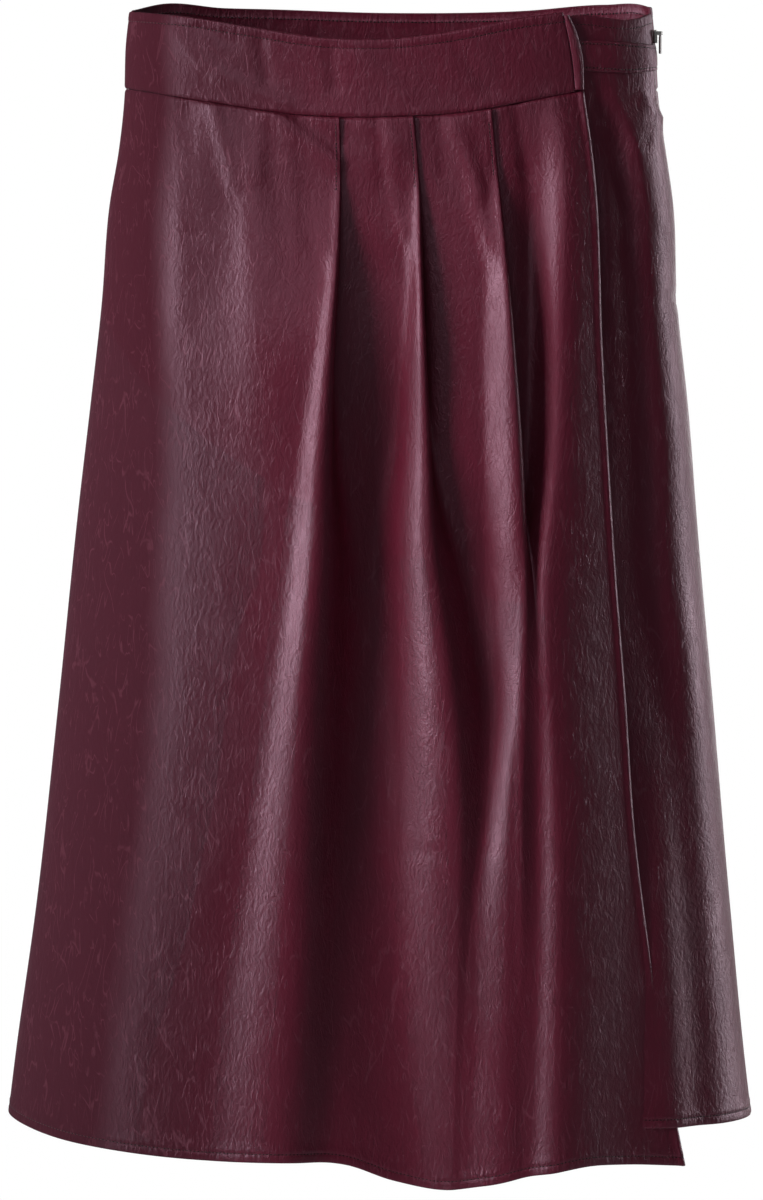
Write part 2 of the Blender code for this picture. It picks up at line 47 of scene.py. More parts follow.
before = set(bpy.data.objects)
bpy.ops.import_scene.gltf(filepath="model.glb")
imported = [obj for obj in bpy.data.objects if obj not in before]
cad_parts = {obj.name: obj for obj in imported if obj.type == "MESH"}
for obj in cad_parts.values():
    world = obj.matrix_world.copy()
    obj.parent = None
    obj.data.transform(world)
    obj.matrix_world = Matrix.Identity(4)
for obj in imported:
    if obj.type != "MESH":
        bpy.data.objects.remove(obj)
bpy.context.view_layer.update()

MM = 0.001
RING_STEP = 1e-3  # radians, to measure the ring's direction

# Cloth
SEAM_GAP = 0.3 * MM
PANEL_WALL = 1.0 * MM
BAND_WALL = 1.6 * MM
STRAP_WALL = 1.2 * MM
TAPE_WALL = 0.6 * MM
BOXINESS = 2.3  # 2 would make the rings plain ellipses

# The wrap: the overlay lies over the underlay
LAYER_LIFT = 2.4 * MM
LIFT_STARTS = -175 * MM
LIFT_FULL = -20 * MM
BAND_LIFT = 1.3  # the waistband's lift as a share of the panel's

# Side seams, as angles from the middle of the front
RIGHT_SEAM = math.radians(83)
LEFT_SEAM = math.radians(-97)

# Rings of the skirt: half widths to each side of the middle, and the cloth's reach to front and back
SECTION_COLUMNS = ("depth", "left", "right", "front", "back")
SECTIONS = (
    (-0.035, 0.1705, 0.1690, 0.0430, 0.0410),
    (-0.005, 0.1742, 0.1722, 0.0440, 0.0420),
    (0.030, 0.1756, 0.1746, 0.0460, 0.0440),
    (0.065, 0.1794, 0.1795, 0.0500, 0.0490),
    (0.100, 0.1855, 0.1845, 0.0540, 0.0550),
    (0.165, 0.1910, 0.1870, 0.0610, 0.0620),
    (0.230, 0.1985, 0.1945, 0.0660, 0.0660),
    (0.300, 0.2070, 0.2005, 0.0700, 0.0700),
    (0.430, 0.2210, 0.2125, 0.0770, 0.0770),
    (0.565, 0.2365, 0.2250, 0.0830, 0.0840),
    (0.665, 0.2510, 0.2350, 0.0870, 0.0890),
    (0.745, 0.2610, 0.2450, 0.0900, 0.0930),
)

# Edges that run round the skirt: how deep each lies at a place from left to right
EDGE_COLUMNS = ("across", "depth")
FRONT_TOP = (
    (-0.172, -0.0257), (-0.128, -0.0209), (-0.092, -0.0148), (-0.046, -0.0078), (0.000, -0.0070),
    (0.034, -0.0110), (0.084, -0.0206), (0.112, -0.0245),
)
FRONT_SEAM = (
    (-0.176, 0.0243), (-0.111, 0.0349), (-0.060, 0.0422), (-0.034, 0.0435), (0.014, 0.0428),
    (0.054, 0.0396), (0.086, 0.0334), (0.124, 0.0262),
)
UNDERLAY_TOP = (
    (0.070, -0.0100), (0.100, -0.0180), (0.122, -0.0226), (0.142, -0.0206), (0.151, -0.0200),
    (0.159, -0.0209), (0.174, -0.0265),
)
BACK_TOP = (
    (-0.174, -0.0260), (-0.152, -0.0317), (-0.112, -0.0294), (-0.084, -0.0288), (0.000, -0.0264),
    (0.088, -0.0277), (0.141, -0.0313), (0.166, -0.0302), (0.174, -0.0265),
)
BACK_SEAM = (
    (-0.176, 0.0243), (0.000, 0.0220), (0.176, 0.0250),
)
OVERLAY_HEM = (
    (-0.258, 0.7045), (-0.230, 0.7110), (-0.175, 0.7185), (-0.120, 0.7220), (-0.060, 0.7215),
    (-0.030, 0.7250), (0.000, 0.7360), (0.035, 0.7415), (0.060, 0.7375), (0.090, 0.7300),
    (0.125, 0.7240), (0.150, 0.7255), (0.192, 0.7300),
)
UNDERLAY_HEM = (
    (0.080, 0.7000), (0.193, 0.7042), (0.240, 0.7058),
)
BACK_HEM = (
    (-0.258, 0.7040), (-0.150, 0.7100), (0.000, 0.7130), (0.150, 0.7100), (0.241, 0.7055),
)

# Edges that run down the skirt: how far across each lies at a depth
UPRIGHT_COLUMNS = ("depth", "across")
OVERLAY_EDGE = (
    (0.026, 0.1240), (0.084, 0.1300), (0.187, 0.1336), (0.263, 0.1380), (0.331, 0.1425),
    (0.418, 0.1498), (0.514, 0.1572), (0.593, 0.1680), (0.650, 0.1761), (0.730, 0.1917),
)
UNDERLAY_EDGE = (
    (-0.020, 0.0740), (0.200, 0.0860), (0.720, 0.0900),
)
BAND_END = (
    (-0.0250, 0.1098), (-0.0072, 0.1136), (0.0051, 0.1158), (0.0262, 0.1180),
)
LOOP_EDGE = (
    (-0.0222, 0.1137), (-0.0147, 0.1176), (-0.0067, 0.1204), (0.0025, 0.1226), (0.0262, 0.1238),
)

# Edge-stitched knife pleats: where the fold lies, how far the cloth turns in it, how round, and
# how much cloth runs back beneath
PLEAT_COLUMNS = ("depth", "across", "turn", "radius", "tuck")
PLEATS = (
    (
        (0.040, -0.0342, 180, 0.0006, 0.012),
        (0.093, -0.0335, 180, 0.0006, 0.012),
        (0.130, -0.0340, 160, 0.0014, 0.012),
        (0.190, -0.0365, 118, 0.0035, 0.012),
        (0.260, -0.0385, 84, 0.0070, 0.010),
        (0.335, -0.0375, 62, 0.0130, 0.010),
        (0.415, -0.0410, 47, 0.0200, 0.010),
        (0.484, -0.0440, 42, 0.0230, 0.009),
        (0.581, -0.0490, 34, 0.0270, 0.009),
        (0.660, -0.0545, 30, 0.0285, 0.009),
        (0.740, -0.0600, 26, 0.0300, 0.008),
    ),
    (
        (0.040, 0.0135, 180, 0.0006, 0.012),
        (0.091, 0.0175, 180, 0.0006, 0.012),
        (0.130, 0.0187, 158, 0.0014, 0.012),
        (0.194, 0.0212, 118, 0.0028, 0.011),
        (0.260, 0.0245, 94, 0.0050, 0.006),
        (0.335, 0.0300, 50, 0.0110, 0.016),
        (0.415, 0.0420, 40, 0.0125, 0.016),
        (0.484, 0.0460, 32, 0.0120, 0.010),
        (0.581, 0.0440, 16, 0.0085, 0.004),
        (0.740, 0.0400, 8, 0.0060, 0.003),
    ),
    (
        (0.038, 0.0637, 180, 0.0006, 0.012),
        (0.085, 0.0682, 180, 0.0006, 0.012),
        (0.129, 0.0722, 160, 0.0012, 0.012),
        (0.194, 0.0772, 125, 0.0022, 0.012),
        (0.290, 0.0835, 98, 0.0034, 0.010),
        (0.340, 0.0848, 66, 0.0044, 0.009),
        (0.410, 0.0845, 46, 0.0070, 0.011),
        (0.484, 0.0838, 36, 0.0135, 0.010),
        (0.581, 0.0828, 27, 0.0160, 0.010),
        (0.740, 0.0800, 22, 0.0180, 0.009),
    ),
)
# How the cloth rises to each pleat: broadly for a share of the height, and steeply in its last part
RISE_COLUMNS = ("depth", "broad_from", "broad_share", "steep_width")
RISES = (
    (
        (0.040, -0.140, 0.80, 0.012),
        (0.130, -0.150, 0.80, 0.009),
        (0.200, -0.165, 0.74, 0.010),
        (0.260, -0.170, 0.66, 0.014),
        (0.335, -0.176, 0.58, 0.019),
        (0.415, -0.182, 0.56, 0.023),
        (0.490, -0.190, 0.46, 0.032),
        (0.580, -0.200, 0.24, 0.044),
        (0.740, -0.215, 0.10, 0.052),
    ),
    (
        (0.040, -0.034, 0.60, 0.012),
        (0.130, -0.030, 0.72, 0.009),
        (0.200, -0.030, 0.62, 0.015),
        (0.260, -0.030, 0.30, 0.024),
        (0.335, -0.030, 0.14, 0.036),
        (0.415, -0.030, 0.05, 0.042),
        (0.484, -0.030, 0.05, 0.040),
        (0.740, -0.030, 0.05, 0.030),
    ),
    (
        (0.040, 0.018, 0.60, 0.012),
        (0.130, 0.022, 0.40, 0.013),
        (0.200, 0.024, 0.28, 0.019),
        (0.290, 0.028, 0.24, 0.0225),
        (0.387, 0.036, 0.17, 0.0225),
        (0.484, 0.040, 0.15, 0.0235),
        (0.600, 0.038, 0.16, 0.0230),
        (0.740, 0.030, 0.20, 0.0260),
    ),
)
OPEN_TURN = math.radians(148)  # a pleat that turns less has no cloth tucked flat beneath it
# The rounded lip of each fold below its stitching
LIP_COLUMNS = ("depth", "height", "width")
LIP = (
    (0.030, 0.0006, 0.0018),
    (0.078, 0.0006, 0.0018),
    (0.096, 0.0024, 0.0032),
    (0.130, 0.0026, 0.0036),
    (0.180, 0.0012, 0.0042),
    (0.220, 0.0000, 0.0050),
)
PLEAT_STITCH_FROM = 0.046
PLEAT_STITCH_ENDS = (0.091, 0.089, 0.083)
PLEAT_STITCH_FADE = 3 * MM

# Soft folds: the height of a ridge, or a hollow where it is below 0, and how wide each side of it is
FOLD_COLUMNS = ("depth", "across", "height", "left", "right")
OVERLAY_FOLDS = (
    (
        (0.040, -0.146, 0.0000, 0.026, 0.050),
        (0.130, -0.150, 0.0022, 0.024, 0.050),
        (0.290, -0.166, 0.0024, 0.026, 0.055),
        (0.480, -0.186, 0.0022, 0.028, 0.060),
        (0.740, -0.212, 0.0024, 0.028, 0.070),
    ),
    (
        (0.040, -0.104, 0.0000, 0.010, 0.012),
        (0.080, -0.092, 0.0030, 0.010, 0.014),
        (0.120, -0.088, 0.0040, 0.013, 0.020),
        (0.170, -0.086, 0.0028, 0.014, 0.024),
        (0.220, -0.084, 0.0014, 0.015, 0.024),
        (0.300, -0.084, 0.0000, 0.016, 0.020),
        (0.740, -0.100, 0.0000, 0.020, 0.020),
    ),
    (
        (0.040, -0.134, 0.0000, 0.008, 0.012),
        (0.080, -0.132, 0.0018, 0.008, 0.012),
        (0.140, -0.136, 0.0017, 0.009, 0.014),
        (0.220, -0.144, 0.0007, 0.012, 0.016),
        (0.300, -0.150, 0.0000, 0.014, 0.018),
        (0.740, -0.150, 0.0000, 0.020, 0.020),
    ),
    (
        (0.070, 0.010, 0.0000, 0.026, 0.008),
        (0.105, 0.010, -0.0035, 0.030, 0.012),
        (0.150, 0.008, -0.0080, 0.030, 0.014),
        (0.200, 0.005, -0.0100, 0.028, 0.018),
        (0.290, -0.001, -0.0120, 0.028, 0.022),
        (0.387, -0.010, -0.0145, 0.028, 0.026),
        (0.484, -0.010, -0.0160, 0.034, 0.030),
        (0.600, -0.002, -0.0150, 0.044, 0.030),
        (0.740, 0.010, -0.0120, 0.052, 0.034),
    ),
    (
        (0.026, 0.1080, 0.0000, 0.0120, 0.018),
        (0.050, 0.1090, 0.0055, 0.0110, 0.022),
        (0.080, 0.1100, 0.0090, 0.0105, 0.026),
        (0.140, 0.1085, 0.0122, 0.0125, 0.032),
        (0.200, 0.1070, 0.0125, 0.0125, 0.034),
        (0.260, 0.1050, 0.0140, 0.0120, 0.036),
        (0.330, 0.0990, 0.0160, 0.0120, 0.042),
        (0.415, 0.1000, 0.0172, 0.0130, 0.042),
        (0.484, 0.1050, 0.0165, 0.0145, 0.040),
        (0.600, 0.1070, 0.0165, 0.0165, 0.038),
        (0.740, 0.1060, 0.0165, 0.0185, 0.038),
    ),
    (
        (0.050, 0.0895, 0.0000, 0.008, 0.010),
        (0.085, 0.0895, -0.0020, 0.008, 0.012),
        (0.140, 0.0900, -0.0036, 0.007, 0.012),
        (0.200, 0.0900, -0.0042, 0.007, 0.012),
        (0.260, 0.0885, -0.0036, 0.006, 0.012),
        (0.330, 0.0845, 0.0000, 0.005, 0.010),
        (0.740, 0.0880, 0.0000, 0.005, 0.010),
    ),
)
UNDERLAY_FOLDS = (
    (
        (0.040, 0.084, 0.0000, 0.030, 0.016),
        (0.090, 0.086, -0.0058, 0.030, 0.020),
        (0.260, 0.088, -0.0078, 0.030, 0.020),
        (0.500, 0.088, -0.0060, 0.030, 0.020),
        (0.740, 0.088, -0.0055, 0.030, 0.020),
    ),
    (
        (0.020, 0.146, 0.0000, 0.016, 0.012),
        (0.060, 0.147, -0.0025, 0.016, 0.012),
        (0.105, 0.150, -0.0040, 0.018, 0.012),
        (0.200, 0.158, -0.0040, 0.020, 0.012),
        (0.335, 0.166, -0.0035, 0.020, 0.012),
        (0.490, 0.186, -0.0020, 0.018, 0.012),
        (0.740, 0.204, -0.0020, 0.018, 0.012),
    ),
    (
        (0.026, 0.158, 0.0000, 0.011, 0.016),
        (0.073, 0.1605, 0.0042, 0.011, 0.016),
        (0.105, 0.1655, 0.0048, 0.011, 0.015),
        (0.150, 0.1685, 0.0048, 0.011, 0.015),
        (0.200, 0.1730, 0.0046, 0.011, 0.015),
        (0.260, 0.1790, 0.0044, 0.011, 0.015),
        (0.335, 0.1815, 0.0042, 0.012, 0.017),
        (0.415, 0.1930, 0.0036, 0.012, 0.015),
        (0.490, 0.1995, 0.0030, 0.012, 0.015),
        (0.580, 0.2060, 0.0024, 0.012, 0.015),
        (0.740, 0.2140, 0.0020, 0.012, 0.015),
    ),
    (
        (0.040, 0.1370, 0.0000, 0.0055, 0.012),
        (0.073, 0.1390, 0.0022, 0.0055, 0.018),
        (0.105, 0.1415, 0.0036, 0.0065, 0.018),
        (0.150, 0.1440, 0.0034, 0.0070, 0.018),
        (0.200, 0.1480, 0.0018, 0.0075, 0.018),
        (0.250, 0.1520, 0.0006, 0.0080, 0.018),
        (0.300, 0.1500, 0.0000, 0.0080, 0.018),
        (0.740, 0.1520, 0.0000, 0.0080, 0.020),
    ),
    (
        (0.400, 0.170, 0.0000, 0.022, 0.018),
        (0.490, 0.174, 0.0036, 0.022, 0.018),
        (0.600, 0.178, 0.0056, 0.026, 0.018),
        (0.740, 0.184, 0.0066, 0.030, 0.020),
    ),
)
BACK_FOLDS = (
    (
        (0.060, -0.120, 0.000, 0.020, 0.020),
        (0.300, -0.132, 0.005, 0.020, 0.024),
        (0.740, -0.168, 0.013, 0.022, 0.026),
    ),
    (
        (0.060, -0.045, 0.000, 0.022, 0.018),
        (0.300, -0.050, 0.006, 0.026, 0.020),
        (0.740, -0.072, 0.015, 0.028, 0.024),
    ),
    (
        (0.060, 0.030, 0.000, 0.020, 0.022),
        (0.300, 0.032, 0.004, 0.020, 0.024),
        (0.740, 0.030, 0.012, 0.024, 0.026),
    ),
    (
        (0.060, 0.110, 0.000, 0.018, 0.020),
        (0.300, 0.118, 0.006, 0.020, 0.024),
        (0.740, 0.140, 0.014, 0.024, 0.026),
    ),
)

# Small creases: a soft ridge, or a trough where the height is below 0, from one place to another, as
# (across, depth, to across, to depth, height, width)
OVERLAY_CREASES = (
    (-0.0790, 0.040, -0.0360, 0.074, 0.0019, 0.0042),
    (-0.0640, 0.041, -0.0350, 0.062, -0.0012, 0.0032),
    (-0.1150, 0.038, -0.1030, 0.086, 0.0017, 0.0050),
    (-0.0850, 0.042, -0.0870, 0.080, 0.0012, 0.0045),
    (-0.1330, 0.040, -0.1290, 0.120, -0.0014, 0.0070),
    (-0.0690, 0.050, -0.0610, 0.125, 0.0010, 0.0060),
    (-0.0180, 0.048, 0.0040, 0.062, 0.0010, 0.0050),
    (-0.0100, 0.047, -0.0060, 0.086, -0.0008, 0.0045),
    (0.0300, 0.043, 0.0340, 0.082, -0.0008, 0.0050),
    (0.0400, 0.050, 0.0560, 0.092, 0.0018, 0.0060),
    (0.0800, 0.036, 0.0870, 0.082, -0.0010, 0.0045),
    (0.0080, 0.5190, 0.0640, 0.5195, -0.0007, 0.0030),
)
UNDERLAY_CREASES = (
    (0.1640, 0.031, 0.1760, 0.044, 0.0012, 0.0030),
    (0.1760, 0.044, 0.1690, 0.060, 0.0010, 0.0035),
    (0.1340, 0.024, 0.1360, 0.038, -0.0011, 0.0050),
    (0.1460, 0.031, 0.1580, 0.064, 0.0012, 0.0050),
    (0.1400, 0.063, 0.1620, 0.110, -0.0014, 0.0080),
    (0.1900, 0.160, 0.1780, 0.166, -0.0014, 0.0040),
    (0.1880, 0.229, 0.1780, 0.226, -0.0008, 0.0035),
)
BACK_CREASES = (
    (-0.1500, 0.030, -0.1330, 0.085, 0.0012, 0.0060),
    (-0.1080, 0.028, -0.1180, 0.094, -0.0009, 0.0070),
    (-0.0760, 0.026, -0.0480, 0.072, 0.0010, 0.0050),
    (-0.0240, 0.024, -0.0300, 0.098, -0.0008, 0.0065),
    (0.0120, 0.024, 0.0310, 0.084, 0.0009, 0.0060),
    (0.0700, 0.026, 0.0540, 0.076, -0.0008, 0.0055),
    (0.0980, 0.027, 0.1120, 0.110, 0.0010, 0.0065),
    (0.1520, 0.030, 0.1370, 0.078, -0.0010, 0.0055),
    (-0.0300, 0.470, 0.0280, 0.474, -0.0004, 0.0030),
)
FRONT_BAND_CREASES = (
    (-0.1420, -0.012, -0.1210, 0.010, 0.0010, 0.0060),
    (-0.1120, 0.0165, -0.0700, 0.036, 0.0014, 0.0055),
    (-0.0860, -0.006, -0.0810, 0.018, -0.0014, 0.0050),
    (-0.1240, -0.016, -0.1010, -0.004, -0.0011, 0.0045),
    (-0.0400, -0.003, -0.0370, 0.024, -0.0011, 0.0050),
    (-0.0200, 0.004, 0.0060, 0.030, 0.0007, 0.0065),
    (0.0400, -0.004, 0.0620, 0.026, -0.0007, 0.0060),
)
BACK_BAND_CREASES = (
    (-0.1300, -0.020, -0.1080, 0.012, 0.0007, 0.0060),
    (-0.0600, -0.016, -0.0680, 0.016, -0.0006, 0.0055),
    (0.0200, -0.018, 0.0380, 0.014, 0.0006, 0.0060),
    (0.1050, -0.020, 0.0900, 0.010, -0.0006, 0.0050),
)

# The strap on the underlay goes under the loop at the waistband's end
STRAP_TUCK = 2 * MM
STRAP_TOP = ((0.117, -0.0063), (0.134, -0.0062), (0.156, -0.0050), (0.172, -0.0038))
STRAP_FOOT = ((0.117, 0.0132), (0.139, 0.0141), (0.156, 0.0147), (0.172, 0.0126))
LOOP_TOP = ((0.110, -0.0225), (0.125, -0.0218))
LOOP_FOOT = ((0.110, 0.0262), (0.125, 0.0258))
STRAP_LIFT = PANEL_WALL / 2 + SEAM_GAP + STRAP_WALL / 2
STRAP_HUMP = 0.5 * MM
STRAP_HUMP_WIDTH = 7 * MM
# Painted light: the strap's colour is made lighter than the panels'
STRAP_PAINTED_LIGHT = 1.05  # its colour, as a share of the panels'
LOOP_HUMP = 1.1 * MM
LOOP_ROUNDNESS = 0.8

# The zip in the right side seam
ZIP_TOP = ((0.160, -0.0190), (0.185, -0.0190))
ZIP_FOOT = ((0.160, 0.1550), (0.195, 0.1550))
TAPE_HALF_WIDTH = 11 * MM
TAPE_GRID = (19, 90)
TOOTH_SIZE = (1.9 * MM, 0.55 * MM, 0.8 * MM)  # along the waist, down the zip, and out of the tape
TOOTH_REACH = 0.32  # how far a tooth's middle stands from the tape's, as a share of its width
TOOTH_TAPER = 0.7
ZIP_TEETH_FROM = -0.0165
ZIP_TEETH_TO = 0.1520

# Turned edges, measured in from an edge
HEM_TURN = 9 * MM
TURN_BULGE = 0.30 * MM
TURN_SLOPE = 1.6 * MM
TOP_TURN_SHARE = 0.6  # the underlay's top edge stands out less than its hem
EDGE_ROLL = 0.40 * MM
EDGE_ROLL_WIDTH = 1.5 * MM
FREE_EDGE_RIDGE = 1.3 * MM
FREE_EDGE_IN = 2.0 * MM
FREE_EDGE_WIDTH = 1.5 * MM
SEAM_ROLL = 0.95 * MM
SEAM_ROLL_WIDTH = 2.6 * MM
GROOVE_DEPTH = 0.32 * MM
GROOVE_WIDTH = 0.9 * MM
FINE_GROOVE_WIDTH = 0.7 * MM
PLEAT_GROOVE_SHARE = 1.2
CALM_EDGE = 8 * MM  # a waistband's creases fade this close to its edges
CALM_SHARE = 0.4
EDGE_THINNING = 0.55  # a wall's thickness at its very edge, as a share
NEAR_EDGE = (0, 0.35 * MM, 0.8 * MM, 1.5 * MM, 2.6 * MM, 4.2 * MM)
NEAR_HEM = (
    *(0, 0.35 * MM, 0.9 * MM, 1.8 * MM, 3.4 * MM, 4.6 * MM),
    *(5.3 * MM, 6.0 * MM, 6.8 * MM, 8.4 * MM, 10.6 * MM),
)
NEAR_FOLD = (0, 1 * MM, 2 * MM, 3.2 * MM)

# How far the leather puckers from a seam or a line of stitches
SEAM_PUCKER = 7 * MM
HEM_PUCKER = 6 * MM
BAND_PUCKER = 8 * MM
TOP_PUCKER = 12 * MM
STITCH_PUCKER = 4 * MM
PLEAT_PUCKER_SHARE = 0.6
BAND_FOOT_PUCKER_SHARE = 0.7
LOOP_PUCKER_SHARE = 0.5

# The coating is duller on the plain panel beside the pressed pleats; the next two shares set where painted
# shade darkens the left side's colour
LEFT_SHADE_FROM = 0.20
LEFT_SHADE_FULL = 0.62
DULL_COLUMNS = ("depth", "left_from", "left_full")
DULL = (
    (0.000, 0.72, 0.88),
    (0.120, 0.70, 0.86),
    (0.220, 0.62, 0.80),
    (0.740, 0.60, 0.78),
)

# Each cloth's node, slot, wall, how it is held and what it rests on
PIECES = {
    "overlay": ("overlay_panel", "overlay_leather", PANEL_WALL, "hung", "front_band_cloth"),
    "underlay": ("underlay_panel", "underlay_leather", PANEL_WALL, "hung", "overlay_cloth"),
    "back": ("back_panel", "back_leather", PANEL_WALL, "hung", "back_band_cloth"),
    "front_band": ("front_waistband", "waistband_leather", BAND_WALL, "stretched", "underlay_cloth"),
    "back_band": ("back_waistband", "waistband_leather", BAND_WALL, "stretched", "front_band_cloth"),
    "strap": ("waist_strap", "strap_leather", STRAP_WALL, "stretched", "underlay_cloth"),
    "loop": ("strap_loop", "strap_leather", STRAP_WALL, "stretched", "strap_cloth"),
    "zip_tape": ("zip_tape", "zip_tape_fabric", TAPE_WALL, "stretched", "back_cloth"),
}
# Each mesh's points across and down, as (length, distances near the start, near the end, points between)
GRIDS = {
    "underlay": ((0.115, NEAR_EDGE, NEAR_EDGE, 64), (0.725, NEAR_HEM, NEAR_HEM, 150)),
    "back": ((0.42, NEAR_EDGE, NEAR_EDGE, 130), (0.685, NEAR_EDGE, NEAR_HEM, 140)),
    "front_band": ((0.36, NEAR_EDGE, NEAR_EDGE, 140), (0.05, NEAR_HEM[:9], NEAR_EDGE, 20)),
    "back_band": ((0.36, NEAR_EDGE, NEAR_EDGE, 140), (0.05, NEAR_HEM[:9], NEAR_EDGE, 20)),
    "strap": ((0.062, NEAR_EDGE, NEAR_EDGE, 50), (0.02, NEAR_EDGE, NEAR_EDGE, 10)),
    "loop": ((0.006, NEAR_EDGE[:3], NEAR_EDGE[:3], 8), (0.047, NEAR_EDGE, NEAR_EDGE, 24)),
}
OVERLAY_DOWN = (0.685, NEAR_EDGE, NEAR_HEM, 160)
OVERLAY_STRETCHES = ((0.13, 58), (0.06, 24), (0.06, 24), (0.06, 40))  # a length and the points between
PLEAT_POINTS = 16
STITCH_SAMPLES = 30

# A stitch's rings: how far along it each lies, how wide it is and how far it stands out, as shares
STITCH_RINGS = (
    (-0.50, 0.25, -0.90),
    (-0.38, 0.80, -0.10),
    (-0.15, 1.00, 0.25),
    (0.15, 1.00, 0.25),
    (0.38, 0.80, -0.10),
    (0.50, 0.25, -0.90),
)
STITCH_SIDES = 6
STITCH_AIM = 0.2 * MM  # either side of a stitch's middle, to find its direction

# Hairline creases in the coating: how far each set leans, its scales and its lines' width
HAIRLINES = (
    (0.30, (80, 80, 9), 0.016),
    (-0.24, (110, 110, 14), 0.016),
    (0.06, (230, 230, 40), 0.022),
)

# The camera looks at the middle of the front from a little above
CAMERA_DISTANCE = 3.2
CAMERA_ELEVATION = math.radians(5)
CAMERA_AIM = Vector((-0.007, 0.0, -0.362))
METRES_PER_PIXEL = 0.664 * MM
PICTURE_HEIGHT = 1200
SENSOR = 36.0

# The studio. Azimuth 0 is in front and positive is right, and a light's power is a setting's share
FLOOR_SIZE = 9.0
MIDDLE = Vector((0.0, 0.0, -0.36))
HIGH = Vector((0.10, 0.0, -0.10))
# name, aim, azimuth, elevation, distance, size, spread, setting, share, what it shows
LIGHTS = (
    ("key", HIGH, -59, 10, 2.6, (0.9, 1.6), 52, "key_power", 1.0, "diffuse"),
    ("left_strip", MIDDLE, -74, 8, 2.4, (0.7, 2.2), 120, "strip_power", 1.0, "glossy"),
    ("right_strip", MIDDLE, 105, 8, 2.6, (0.6, 2.2), 120, "strip_power", 0.74, "glossy"),
    ("top_soft", HIGH, -18, 30, 2.8, (1.8, 1.2), 60, "fill_power", 0.5, "glossy"),
    ("right_fill", MIDDLE, 96, 8, 2.6, (1.2, 2.2), 120, "key_power", 0.16, "diffuse"),
    ("right_key", MIDDLE, 128, 8, 2.6, (0.8, 2.2), 120, "key_power", 2.0, "diffuse"),
    ("front_fill", MIDDLE, -10, 28, 3.0, (2.5, 2.5), 180, "fill_power", 1.0, "diffuse"),
    ("back_left", MIDDLE, -162, 12, 2.8, (0.9, 2.2), 180, "back_power", 1.0, "both"),
    ("back_right", MIDDLE, 150, 12, 2.8, (0.8, 2.2), 180, "back_power", 1.0, "both"),
)

def curve(rows, columns, name, at):
    """A named column's value on a smooth curve through a table's rows, held level past its ends."""
    table = np.array(rows, float)
    knots = table[:, 0]
    values = table[:, columns.index(name)]
    slopes = np.gradient(values, knots)
    at = np.clip(at, knots[0], knots[-1])
    low = np.clip(np.searchsorted(knots, at, side="right") - 1, 0, len(knots) - 2)
    width = knots[low + 1] - knots[low]
    share = (at - knots[low]) / width
    return (
        values[low] * (1 + 2 * share) * (1 - share) ** 2
        + slopes[low] * width * share * (1 - share) ** 2
        + values[low + 1] * share**2 * (3 - 2 * share)
        + slopes[low + 1] * width * share**2 * (share - 1)
    )


def curves(rows, columns, at):
    """The values of all the columns after the first."""
    return [curve(rows, columns, name, at) for name in columns[1:]]


def ease(share):
    """0 to 1 with a level start and end."""
    share = np.clip(share, 0, 1)
    return share * share * (3 - 2 * share)


def near(distance, width):
    """A mask that is 1 at a line and fades to 0 at a width from it."""
    return np.exp(-((distance / width) ** 2))


def section(depth):
    """The middle, the half width and the reach to front and back of the ring at each depth."""
    left, right, front, back = curves(SECTIONS, SECTION_COLUMNS, depth)
    return (right - left) / 2, (left + right) / 2, front, back


def ring(angle, depth):
    """Where the ring at each depth crosses an angle, as distances across and back."""
    middle, half, front, back = section(depth)
    sine, cosine = np.sin(angle), np.cos(angle)
    reach = (np.abs(sine) ** BOXINESS + np.abs(cosine) ** BOXINESS) ** (-1 / BOXINESS)
    return middle + half * sine * reach, -np.where(cosine > 0, front, back) * cosine * reach


def front_angle(across, depth):
    """The angle of the place on the front that lies this far across."""
    middle, half, _, _ = section(depth)
    sine = np.clip((across - middle) / half, -0.999, 0.999)
    cosine = (1 - np.abs(sine) ** BOXINESS) ** (1 / BOXINESS)
    return np.arctan2(sine, cosine)


def ring_step(angle, depth):
    """How far a small step round the ring goes across and back, and its length."""
    x0, y0 = ring(angle - RING_STEP, depth)
    x1, y1 = ring(angle + RING_STEP, depth)
    return x1 - x0, y1 - y0, np.hypot(x1 - x0, y1 - y0)


def ring_speed(angle, depth):
    """Metres of cloth for each radian round the ring."""
    return ring_step(angle, depth)[2] / (2 * RING_STEP)


def place(angle, depth, lift):
    """Points at an angle and a depth, lifted off the ring to the outside."""
    x, y = ring(angle, depth)
    step_x, step_y, length = ring_step(angle, depth)
    return np.stack([x + step_y / length * lift, y - step_x / length * lift, -depth + 0 * x], axis=-1)


def folds(table, across, depth):
    """How far a list of soft folds lifts the cloth at each place."""
    lift = 0 * (across + depth)
    for rows in table:
        middle, height, left, right = curves(rows, FOLD_COLUMNS, depth)
        offset = across - middle
        lift = lift + height * near(offset, np.where(offset < 0, left, right))
    return lift


def creases(table, across, depth):
    """How far a list of small creases lifts the cloth at each place."""
    lift = 0 * (across + depth)
    for x0, d0, x1, d1, height, width in table:
        long_x, long_d = x1 - x0, d1 - d0
        share = ((across - x0) * long_x + (depth - d0) * long_d) / (long_x**2 + long_d**2)
        share = np.clip(share, 0, 1)
        away = np.hypot(across - x0 - share * long_x, depth - d0 - share * long_d)
        lift = lift + height * near(away, width)
    return lift


def pleat_values(index, depth):
    """A pleat's place across, turn in radians, radius and tuck at each depth."""
    across, turn, radius, tuck = curves(PLEATS[index], PLEAT_COLUMNS, depth)
    return across, np.radians(np.minimum(turn, 180)), radius, tuck


